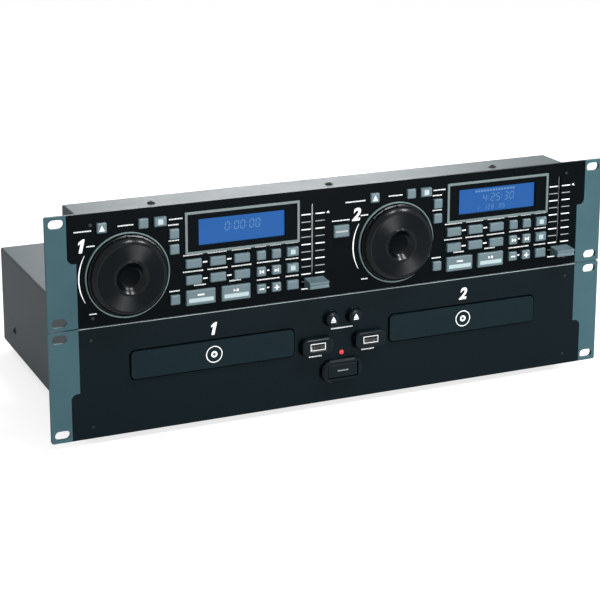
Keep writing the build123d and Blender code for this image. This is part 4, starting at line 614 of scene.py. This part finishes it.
mesh = bmesh.new()
for low, high in solids("case_screws"):
    middle = (low + high) / (2 * MM)
    depth = middle.y - FRONT / MM
    if abs(middle.x) > CASE_HALF_W - SCREW_SHANK_L:
        side = 1 if middle.x > 0 else -1
        add_screw(mesh, spot(side * CASE_HALF_W, depth, middle.z, (side, 0, 0)))
    else:
        add_screw(mesh, spot(middle.x, depth, high.z / MM - SCREW_HEAD_H, (0, 0, 1)))
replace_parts(make_piece("housing_screws", mesh, FINISHES["black_screw"], ROOT, angle=50),
            "case_screws")

mesh = bmesh.new()
for low, high in solids("rubber_feet"):
    middle = (low + high) / (2 * MM)
    radius, height = (high.x - low.x) / (2 * MM), (high.z - low.z) / MM
    # Down the tapering side and into the dish under the foot
    profile = [(0, 0), (radius, 0), (radius, 0.35 * height), (0.86 * radius, 0.85 * height),
               (0.78 * radius, height), (0.45 * radius, height), (0.4 * radius, 0.8 * height),
               (0, 0.8 * height)]
    add_turned(mesh, spot(middle.x, middle.y - FRONT / MM, high.z / MM, (0, 0, -1)), profile, 48)
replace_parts(make_piece("moulded_feet", mesh, FINISHES["rubber"], ROOT, bevel=0.4), "rubber_feet")

# ---------------------------------------------------------------- keys: lit windows, signs and captions
KEY_TOP = -2.4
# Lit windows, inset from a key's left, lower, right and upper edge
BIG_WINDOW = (3.4, 3.6, 3.0, 7.7)
SCRATCH_WINDOW = (4.1, 2.9, 4.1, 2.9)
PITCH_WINDOW = (4.2, 3.1, 4.2, 3.1)
RELAY_WINDOW = (2.6, 5.4, 2.6, 5.6)
BIG_SIGN_Z = 9.3
MARK_STEP = 1.3
MARK_GAP = 0.42


def add_window(mesh, box, insets):
    """A lit window on the front of a key."""
    x0, z0, x1, z1, front = box
    left, low, right, high = insets
    add_ink(mesh, rounded(x0 + left, z0 + low, x1 - right, z1 - high, 0.4, 3), front)


def triangle_right(x, z, width, height):
    """A triangle that points to the right, its middle at (x, z)."""
    return [(x - width / 2, z - height / 2), (x + width / 2, z), (x - width / 2, z + height / 2)]


def plus_sign(x, z, arm, reach):
    """Outline of a plus whose arms are this half width and this long."""
    return [(x - arm, z - reach), (x + arm, z - reach), (x + arm, z - arm), (x + reach, z - arm),
            (x + reach, z + arm), (x + arm, z + arm), (x + arm, z + reach), (x - arm, z + reach),
            (x - arm, z + arm), (x - reach, z + arm), (x - reach, z - arm), (x - arm, z - arm)]


def add_marks(mesh, x0, x1, z, front=0.0, height=0.95):
    """A row of small plain blocks, in the place of a caption."""
    count = max(1, round((x1 - x0 + MARK_GAP) / MARK_STEP))
    step = (x1 - x0 + MARK_GAP) / count
    for k in range(count):
        left = x0 + k * step
        add_ink(mesh, block(left, z - height / 2, left + step - MARK_GAP, z + height / 2), front)


def marks_over(mesh, box, reach, lift=2.0):
    """Caption blocks over a key, wider than the key by this reach at each side."""
    x0, _, x1, z1, _ = box
    add_marks(mesh, x0 - reach, x1 + reach, z1 + lift)


def link_keys(mesh, left, right):
    """White line from one key to the next."""
    z = (left[1] + left[3]) / 2
    add_ink(mesh, block(left[2] + 0.4, z - 0.5, right[0] - 0.4, z + 0.5))


def mark_big_keys(n, prints):
    """Lit windows and signs of the cue key and the play key."""
    cue, play = boxes_mm(f"cue_button_{n}")[0], boxes_mm(f"play_button_{n}")[0]
    for name, box in (("cue", cue), ("play", play)):
        mesh = bmesh.new()
        add_window(mesh, box, BIG_WINDOW)
        make_piece(f"{name}_light_{n}", mesh, LIT_WINDOW, f"{name}_button_{n}_body")
        marks_over(prints, box, -8.5)
    mesh = bmesh.new()
    x, z = (play[0] + play[2]) / 2, play[1] + BIG_SIGN_Z
    add_ink(mesh, triangle_right(x - 1.3, z, 1.8, 2.2), KEY_TOP)
    for bar_x in (x + 0.6, x + 1.6):
        add_ink(mesh, block(bar_x - 0.3, z - 1.1, bar_x + 0.3, z + 1.1), KEY_TOP)
    make_piece(f"play_sign_{n}", mesh, WHITE_INK, f"play_button_{n}_body")
    mesh = bmesh.new()
    add_marks(mesh, cue[0] + 10.6, cue[2] - 10.6, cue[1] + BIG_SIGN_Z, KEY_TOP, 1.3)
    make_piece(f"cue_sign_{n}", mesh, WHITE_INK, f"cue_button_{n}_body")


def mark_top_keys(n, prints):
    """Eject key with its triangle, scratch key with its window, and the mode keys' captions."""
    box = boxes_mm(f"eject_key_{n}")[0]
    x, z = middle_of(box)
    mesh = bmesh.new()
    add_ink(mesh, [(x - 2.2, z - 2.3), (x + 2.2, z - 2.3), (x, z + 2.3)], KEY_TOP)
    make_piece(f"eject_key_sign_{n}", mesh, WHITE_INK, f"eject_key_{n}_body")
    caption_reach = 20.0 if n == 2 else 16.0
    add_marks(prints, box[0] - caption_reach, box[0] - 2.6, z - 1.6)

    box = boxes_mm(f"scratch_key_{n}")[0]
    mesh = bmesh.new()
    add_window(mesh, box, SCRATCH_WINDOW)
    make_piece(f"scratch_light_{n}", mesh, LIT_WINDOW, f"scratch_key_{n}_body")
    add_marks(prints, box[2] + 1.2, box[2] + 12.0, box[1] + 5.4)
    source, *others = boxes_mm(f"mode_keys_{n}")
    add_marks(prints, source[0] - 14.5, source[0] - 2.4, source[1] + 4.8)
    for box in others:
        marks_over(prints, box, -1.0, lift=1.6)


def mark_loop_keys(n, prints):
    """Captions over the two rows of three wide keys, and the lines that link each row."""
    loops = boxes_mm(f"loop_keys_{n}")
    for k, box in enumerate(loops):
        marks_over(prints, box, 0.0 if k < 3 else 0.4, lift=1.9)
        if k % 3 < 2:
            link_keys(prints, box, loops[k + 1])


def mark_track_keys(n, prints):
    """Captions of the folder and program keys, and the signs of the skip and bend keys."""
    tracks = boxes_mm(f"track_keys_{n}")
    bends = boxes_mm(f"bend_keys_{n}")
    for box in tracks[:2]:
        marks_over(prints, box, -0.6)
    for left, right in (tracks[2:], bends):
        add_marks(prints, left[0] + 2.0, right[2] - 2.0, left[3] + 2.1)
        link_keys(prints, left, right)
    mesh = bmesh.new()
    for box, side in ((tracks[2], -1), (tracks[3], 1)):
        x, z = middle_of(box)
        tip = triangle_right(0, 0, 2.6 * side, 2.8)
        add_ink(mesh, [(x - 0.5 * side + dx, z + dz) for dx, dz in tip], KEY_TOP)
        add_ink(mesh, block(x + 1.3 * side - 0.4, z - 1.4, x + 1.3 * side + 0.4, z + 1.4), KEY_TOP)
    make_piece(f"track_signs_{n}", mesh, WHITE_INK, f"track_keys_{n}_body")
    mesh = bmesh.new()
    x, z = middle_of(bends[0])
    add_ink(mesh, block(x - 2.0, z - 0.5, x + 2.0, z + 0.5), KEY_TOP)
    add_ink(mesh, plus_sign(*middle_of(bends[1]), 0.5, 2.0), KEY_TOP)
    make_piece(f"bend_signs_{n}", mesh, WHITE_INK, f"bend_keys_{n}_body")


def mark_pitch_keys(n, prints):
    """Captions over the three pitch keys, and the windows in the upper two."""
    mesh = bmesh.new()
    pitches = boxes_mm(f"pitch_keys_{n}")
    for box in pitches:
        marks_over(prints, box, -0.8)
    for box in pitches[:2]:
        add_window(mesh, box, PITCH_WINDOW)
    make_piece(f"pitch_lights_{n}", mesh, LIT_WINDOW, f"pitch_keys_{n}_body")


# ---------------------------------------------------------------- prints of the control unit
SCALE_TICKS = 11
SCALE_TOP_Z = 68.6
SCALE_STEP = 6.05
ARC_R = 38.0
ARC_FROM = 150.5
ARC_TO = 208.5
ARC_STEPS = 24


def print_scale(n, prints):
    """Scale on both sides of a fader's slot, every other tick dimmer, and a sign at its top."""
    x = FADERS[n].x / MM
    dim = bmesh.new()
    for k in range(SCALE_TICKS):
        z = CONTROL + SCALE_TOP_Z - SCALE_STEP * k
        ink, half = (prints, 0.42) if k % 2 == 0 else (dim, 0.3)
        for x0, x1 in ((x - 9.9, x - 1.9), (x + 2.1, x + 10.1)):
            add_ink(ink, block(x0, z - half, x1, z + half))
    make_piece(f"fader_scale_{n}", dim, DIM_INK, ROOT)
    z = CONTROL + SCALE_TOP_Z
    add_ink(prints, [(x + 11.6, z - 0.2), (x + 13.2, z + 1.3), (x + 14.4, z - 0.9), (x + 13.4, z - 0.5)])


def print_jog_arc(n, prints):
    """Arc beside the jog wheel, thin at its ends, with a caption over and under it and the deck's number."""
    x, z = JOGS[n].x / MM, JOGS[n].z / MM
    outer, inner = [], []
    for k in range(ARC_STEPS + 1):
        angle = radians(ARC_FROM + (ARC_TO - ARC_FROM) * k / ARC_STEPS)
        half = 0.16 + 0.34 * sin(pi * k / ARC_STEPS)
        outer.append((x + (ARC_R + half) * cos(angle), z + (ARC_R + half) * sin(angle)))
        inner.append((x + (ARC_R - half) * cos(angle), z + (ARC_R - half) * sin(angle)))
    add_ink(prints, outer + inner[::-1])
    add_marks(prints, x - 31.4, x - 25.0, z + 25.4)
    add_marks(prints, x - 30.4, x - 25.0, z - 27.4)
    make_number(f"deck_number_{n}", n, x - 35.7, CONTROL + 63.6, 10.5, ROOT)


prints = bmesh.new()
for n in DECKS:
    mark_big_keys(n, prints)
    mark_top_keys(n, prints)
    mark_loop_keys(n, prints)
    mark_track_keys(n, prints)
    mark_pitch_keys(n, prints)
    print_scale(n, prints)
    print_jog_arc(n, prints)
relay_box = boxes_mm("relay_key")[0]
marks_over(prints, relay_box, -0.5, lift=2.2)
mesh = bmesh.new()
add_window(mesh, relay_box, RELAY_WINDOW)
make_piece("relay_light", mesh, DIM_INK, "relay_key_body")
make_piece("control_prints", prints, WHITE_INK, ROOT)

# ---------------------------------------------------------------- displays
LCD_D = 3.0
SCREEN_BORDER = 2
SEGMENTS = {  # top, upper left, upper right, middle, lower left, lower right, bottom
    "0": "1110111", "1": "0010010", "2": "1011101", "3": "1011011", "4": "0111010", "5": "1101011",
    "6": "1101111", "7": "1010010", "8": "1111111", "9": "1111011",
}
DIGIT_SLANT = 0.12


def sign_shapes(sign, height):
    """Outlines of a digit's bars or of a colon's two points, from (0, 0) at the lower left."""
    width, stroke, half = 0.52 * height, 0.11 * height, height / 2
    if sign == ":":
        return [block(-0.1 * height, z - stroke / 2, -0.1 * height + stroke, z + stroke / 2)
                for z in (0.3 * height, 0.7 * height)]
    lying, standing = True, False
    bars = [(0, height, lying), (0, half, standing), (width, half, standing), (0, half, lying),
            (0, 0, standing), (width, 0, standing), (0, 0, lying)]
    shapes = []
    for on, (x, z, lies) in zip(SEGMENTS.get(sign, ""), bars):
        if on == "1" and lies:
            shapes.append(block(x + 0.6 * stroke, z - stroke / 2, x + width - 0.6 * stroke, z + stroke / 2))
        elif on == "1":
            shapes.append(block(x - stroke / 2, z + 0.6 * stroke, x + stroke / 2, z + half - 0.6 * stroke))
    return shapes


def add_digits(mesh, text, x, z, height, pitch):
    """Slanted seven-segment digits on the display's glass, from (x, z) at their lower left."""
    for sign in text:
        for shape in sign_shapes(sign, height):
            add_ink(mesh, [(x + px + DIGIT_SLANT * pz, z + pz) for px, pz in shape], LCD_D)
        x += pitch if sign in SEGMENTS else 0.5 * pitch


mesh = bmesh.new()
(x_1, z_1), (x_2, z_2) = [(box[0] + SCREEN_BORDER, box[1] + SCREEN_BORDER) for box in boxes_mm("lcd_panels")]
add_digits(mesh, "0:00:00", x_1 + 22.5, z_1 + 9.6, 6.2, 5.1)
add_digits(mesh, "4:25:30", x_2 + 23.5, z_2 + 8.6, 6.0, 5.1)
add_digits(mesh, "1  128  05", x_2 + 18.0, z_2 + 2.0, 3.4, 3.5)
# Bar of played time over the second display's figures
for k in range(14):
    add_ink(mesh, block(x_2 + 16.5 + 2.7 * k, z_2 + 16.9, x_2 + 18.5 + 2.7 * k, z_2 + 18.6), LCD_D)
make_piece("display_figures", mesh, LCD_LIGHT, ROOT)

# ---------------------------------------------------------------- prints and ports of the player
prints = bmesh.new()
for n in DECKS:
    box = boxes_mm(f"tray_door_{n}")[0]
    x, z = middle_of(box)
    make_number(f"tray_number_{n}", n, x, PLAYER + 74.5, 10.0, ROOT)
    # Plain pictogram of a disc on the door
    mesh = bmesh.new()
    for outer_r, inner_r in ((6.8, 6.1), (2.6, 1.1)):
        add_ink(mesh, circle(x, z, outer_r), box[4], hole=circle(x, z, inner_r))
    make_piece(f"disc_sign_{n}", mesh, WHITE_INK, f"tray_{n}")
add_marks(prints, -9.5, 9.5, PLAYER + 60.6)
tongues, contacts = bmesh.new(), bmesh.new()
for box in boxes_mm("usb_sockets"):
    x, z = middle_of(box)
    add_marks(prints, x - 5.5, x + 5.5, PLAYER + 39.4)
    add_prism(tongues, block(x - 5.4, z + 0.2, x + 5.4, z + 1.9), 4.0, box[4] + 0.5)
    for contact_x in (x - 3.4, x - 1.1, x + 1.1, x + 3.4):
        add_prism(contacts, block(contact_x - 0.55, z + 0.05, contact_x + 0.55, z + 0.2), 3.0, box[4] + 0.9)
make_piece("player_prints", prints, WHITE_INK, ROOT)
make_piece("port_tongues", tongues, FINISHES["black_plastic"], ROOT, bevel=0.1)
make_piece("port_contacts", contacts, GOLD, ROOT)
box = boxes_mm("power_button")[0]
mesh = bmesh.new()
x, z = middle_of(box)
add_marks(mesh, x - 4.6, x + 4.6, z, box[4], 0.9)
make_piece("power_sign", mesh, DIM_INK, "power_button_body")

# ---------------------------------------------------------------- sockets on the rear walls
REAR_D = 250.0
SHEET_T = 1.2
JACK_BLOCK_D = 12.0
JACK_INSET_Z = 7.0
JACK_SHELL = [(0, -13.2), (4.15, -13.2), (4.15, 8.6), (3.8, 9.0), (3.3, 9.0), (3.3, 2.0), (0, 2.0)]
JACK_INSERT = [(3.25, 1.9), (3.25, 8.2), (1.6, 8.2), (1.6, 0.5), (1.5, 0.4), (1.5, 1.9)]
JACK_WASHER = [(6.2, 0), (6.2, 0.6), (5.8, 0.9), (4.25, 0.9), (4.25, 0)]
ROUND_LENGTH = 13.8
ROUND_PROUD = 0.6
ROUND_RIM = [(5.6, -1.2), (5.6, 0.3), (5.3, 0.6), (4.9, 0.6), (4.7, 0.4), (4.7, -1.2)]
ROUND_SHELL = [(4.65, -1.2), (4.65, 0.2), (4.35, 0.2), (4.35, -1.2)]
ROUND_PIN = [(0.62, -1.1), (0.62, -0.3), (0.38, -0.3), (0.38, -1.1)]
ROUND_PINS = 5
ROUND_PINS_R = 2.7

jacks = bmesh.new()
inserts = {"white": bmesh.new(), "red": bmesh.new()}
for x0, z0, x1, z1, front in boxes_mm("audio_sockets"):
    for z, colour in ((z1 - JACK_INSET_Z, "white"), (z0 + JACK_INSET_Z, "red")):
        place = spot((x0 + x1) / 2, REAR_D, z, TO_REAR)
        add_turned(jacks, place, JACK_SHELL, 48)
        add_turned(inserts[colour], place, JACK_INSERT, 32, closed=True)
        add_turned(inserts[colour], place, JACK_WASHER, 48, closed=True)
    wall_d = REAR_D - SHEET_T
    add_prism(jacks, block(x0, z0, x1, z1), wall_d, wall_d - JACK_BLOCK_D)
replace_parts(make_piece("jack_shells", jacks, FINISHES["socket_metal"], ROOT), "audio_sockets")
make_piece("jack_inserts_white", inserts["white"], FINISHES["white_plastic"], ROOT)
make_piece("jack_inserts_red", inserts["red"], JACK_RED, ROOT)

sockets, shells, pins = bmesh.new(), bmesh.new(), bmesh.new()
for x0, z0, x1, z1, front in boxes_mm("control_sockets"):
    x, z = (x0 + x1) / 2, (z0 + z1) / 2
    rear = front + ROUND_LENGTH
    place = spot(x, rear - ROUND_PROUD, z, TO_REAR)
    add_prism(sockets, block(x0, z0, x1, z1), rear - ROUND_PROUD - SHEET_T, front)
    add_turned(sockets, place, ROUND_RIM, 48, closed=True)
    add_turned(shells, place, ROUND_SHELL, 48, closed=True)
    # The plug's key way
    add_prism(sockets, block(x - 1.1, z + 2.4, x + 1.1, z + 4.4), rear - ROUND_PROUD - SHEET_T, rear - 0.5)
    for k in range(ROUND_PINS):
        angle = radians(-160 + 35 * k)
        offset = ROUND_PINS_R * MM * Vector((cos(angle), sin(angle), 0))
        add_turned(pins, place @ Matrix.Translation(offset), ROUND_PIN, 16, closed=True)
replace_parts(make_piece("round_sockets", sockets, FINISHES["black_plastic"], ROOT),
            "control_sockets")
make_piece("round_socket_shells", shells, FINISHES["socket_metal"], ROOT)
make_piece("round_socket_contacts", pins, GOLD, ROOT)

# Bright sleeves over the mains inlet's three pins
mesh = bmesh.new()
inlet_x, inlet_z = middle_of(boxes_mm("mains_inlet")[0])
for x in (inlet_x - 7.0, inlet_x, inlet_x + 7.0):
    z = inlet_z + 2.6
    add_prism(mesh, block(x - 1.05, z - 2.05, x + 1.05, z + 2.05), REAR_D - 13.8, REAR_D + 0.05)
make_piece("inlet_pins", mesh, FINISHES["socket_metal"], ROOT, bevel=0.3)

# ---------------------------------------------------------------- floor, light and camera
FLOOR_HALF = 6.0
AMBIENT = 0.36
LENS = 103.06
SHIFT_Y = -0.2167
CAMERA_PLACE = (-0.5601, -1.3094, 0.5058)
CAMERA_TURN = (76.684, 0.0, -23.807)
FLOOR_TONES = ((0.40, 0.40, 0.40), (0.43, 0.43, 0.43))
FLOOR_GLOW = 0.75
SET_MIDDLE = (0, 0, 0.1)
# Name, place, target, size and power
LAMPS = (
    ("key_lamp", (0.85, -0.5, 1.35), SET_MIDDLE, 0.26, 12),
    ("overhead_lamp", (0.2, -0.62, 1.5), SET_MIDDLE, 0.26, 10),
    ("top_lamp", (-0.1, 0.8, 1.9), SET_MIDDLE, 1.3, 12),
    ("rim_lamp", (0.75, 1.85, 0.85), (0, 0.1, 0.15), 0.8, 34),
    ("front_lamp", (0.6, -1.9, 0.2), SET_MIDDLE, 0.3, 28),
)


def seen_directly(tree):
    """One for rays from the eye, from a gloss or through glass, and nothing for the light on the set."""
    path = tree.nodes.new("ShaderNodeLightPath")
    seen = calc(tree, "MAXIMUM", path.outputs["Is Camera Ray"], path.outputs["Is Glossy Ray"])
    return calc(tree, "MAXIMUM", seen, path.outputs["Is Transmission Ray"])


def make_world():
    """White studio all round."""
    studio = bpy.data.worlds.new("studio")
    studio.use_nodes = True
    bpy.context.scene.world = studio
    tree = studio.node_tree
    background = tree.nodes["Background"]
    background.inputs["Color"].default_value = (1, 1, 1, 1)
    strength = calc(tree, "MULTIPLY_ADD", seen_directly(tree), 1.0 - AMBIENT, AMBIENT)
    tree.links.new(strength, background.inputs["Strength"])


def make_floor():
    """Pale floor under the set."""
    mesh = bpy.data.meshes.new("floor")
    corners = [(x * FLOOR_HALF, y * FLOOR_HALF, 0) for x, y in ((-1, -1), (1, -1), (1, 1), (-1, 1))]
    mesh.from_pydata(corners, [], [(0, 1, 2, 3)])
    floor = bpy.data.objects.new("floor", mesh)
    bpy.context.scene.collection.objects.link(floor)
    material, tree, shader, coords = new_material("pale_floor")
    tone = blend_colours(tree, noise(tree, coords, 0.4), *FLOOR_TONES)
    tree.links.new(tone, shader.inputs["Base Color"])
    shader.inputs["Roughness"].default_value = 0.9
    shader.inputs["Specular IOR Level"].default_value = 0.1
    shader.inputs["Emission Color"].default_value = (1, 1, 1, 1)
    glow = calc(tree, "MULTIPLY", seen_directly(tree), FLOOR_GLOW)
    tree.links.new(glow, shader.inputs["Emission Strength"])
    mesh.materials.append(material)


def make_lamp(name, place, target, size, power):
    """A soft square lamp aimed at a point."""
    data = bpy.data.lights.new(name, "AREA")
    data.size = size
    data.energy = power
    lamp = bpy.data.objects.new(name, data)
    lamp.location = place
    lamp.rotation_euler = (Vector(target) - Vector(place)).to_track_quat("-Z", "Y").to_euler()
    bpy.context.scene.collection.objects.link(lamp)


def make_camera():
    """The photograph's view."""
    data = bpy.data.cameras.new("camera")
    data.lens = LENS
    data.shift_y = SHIFT_Y
    camera = bpy.data.objects.new("camera", data)
    camera.location = CAMERA_PLACE
    camera.rotation_euler = [radians(a) for a in CAMERA_TURN]
    bpy.context.scene.collection.objects.link(camera)
    bpy.context.scene.camera = camera


make_world()
make_floor()
for lamp in LAMPS:
    make_lamp(*lamp)
make_camera()
bpy.context.scene.view_settings.view_transform = "Standard"
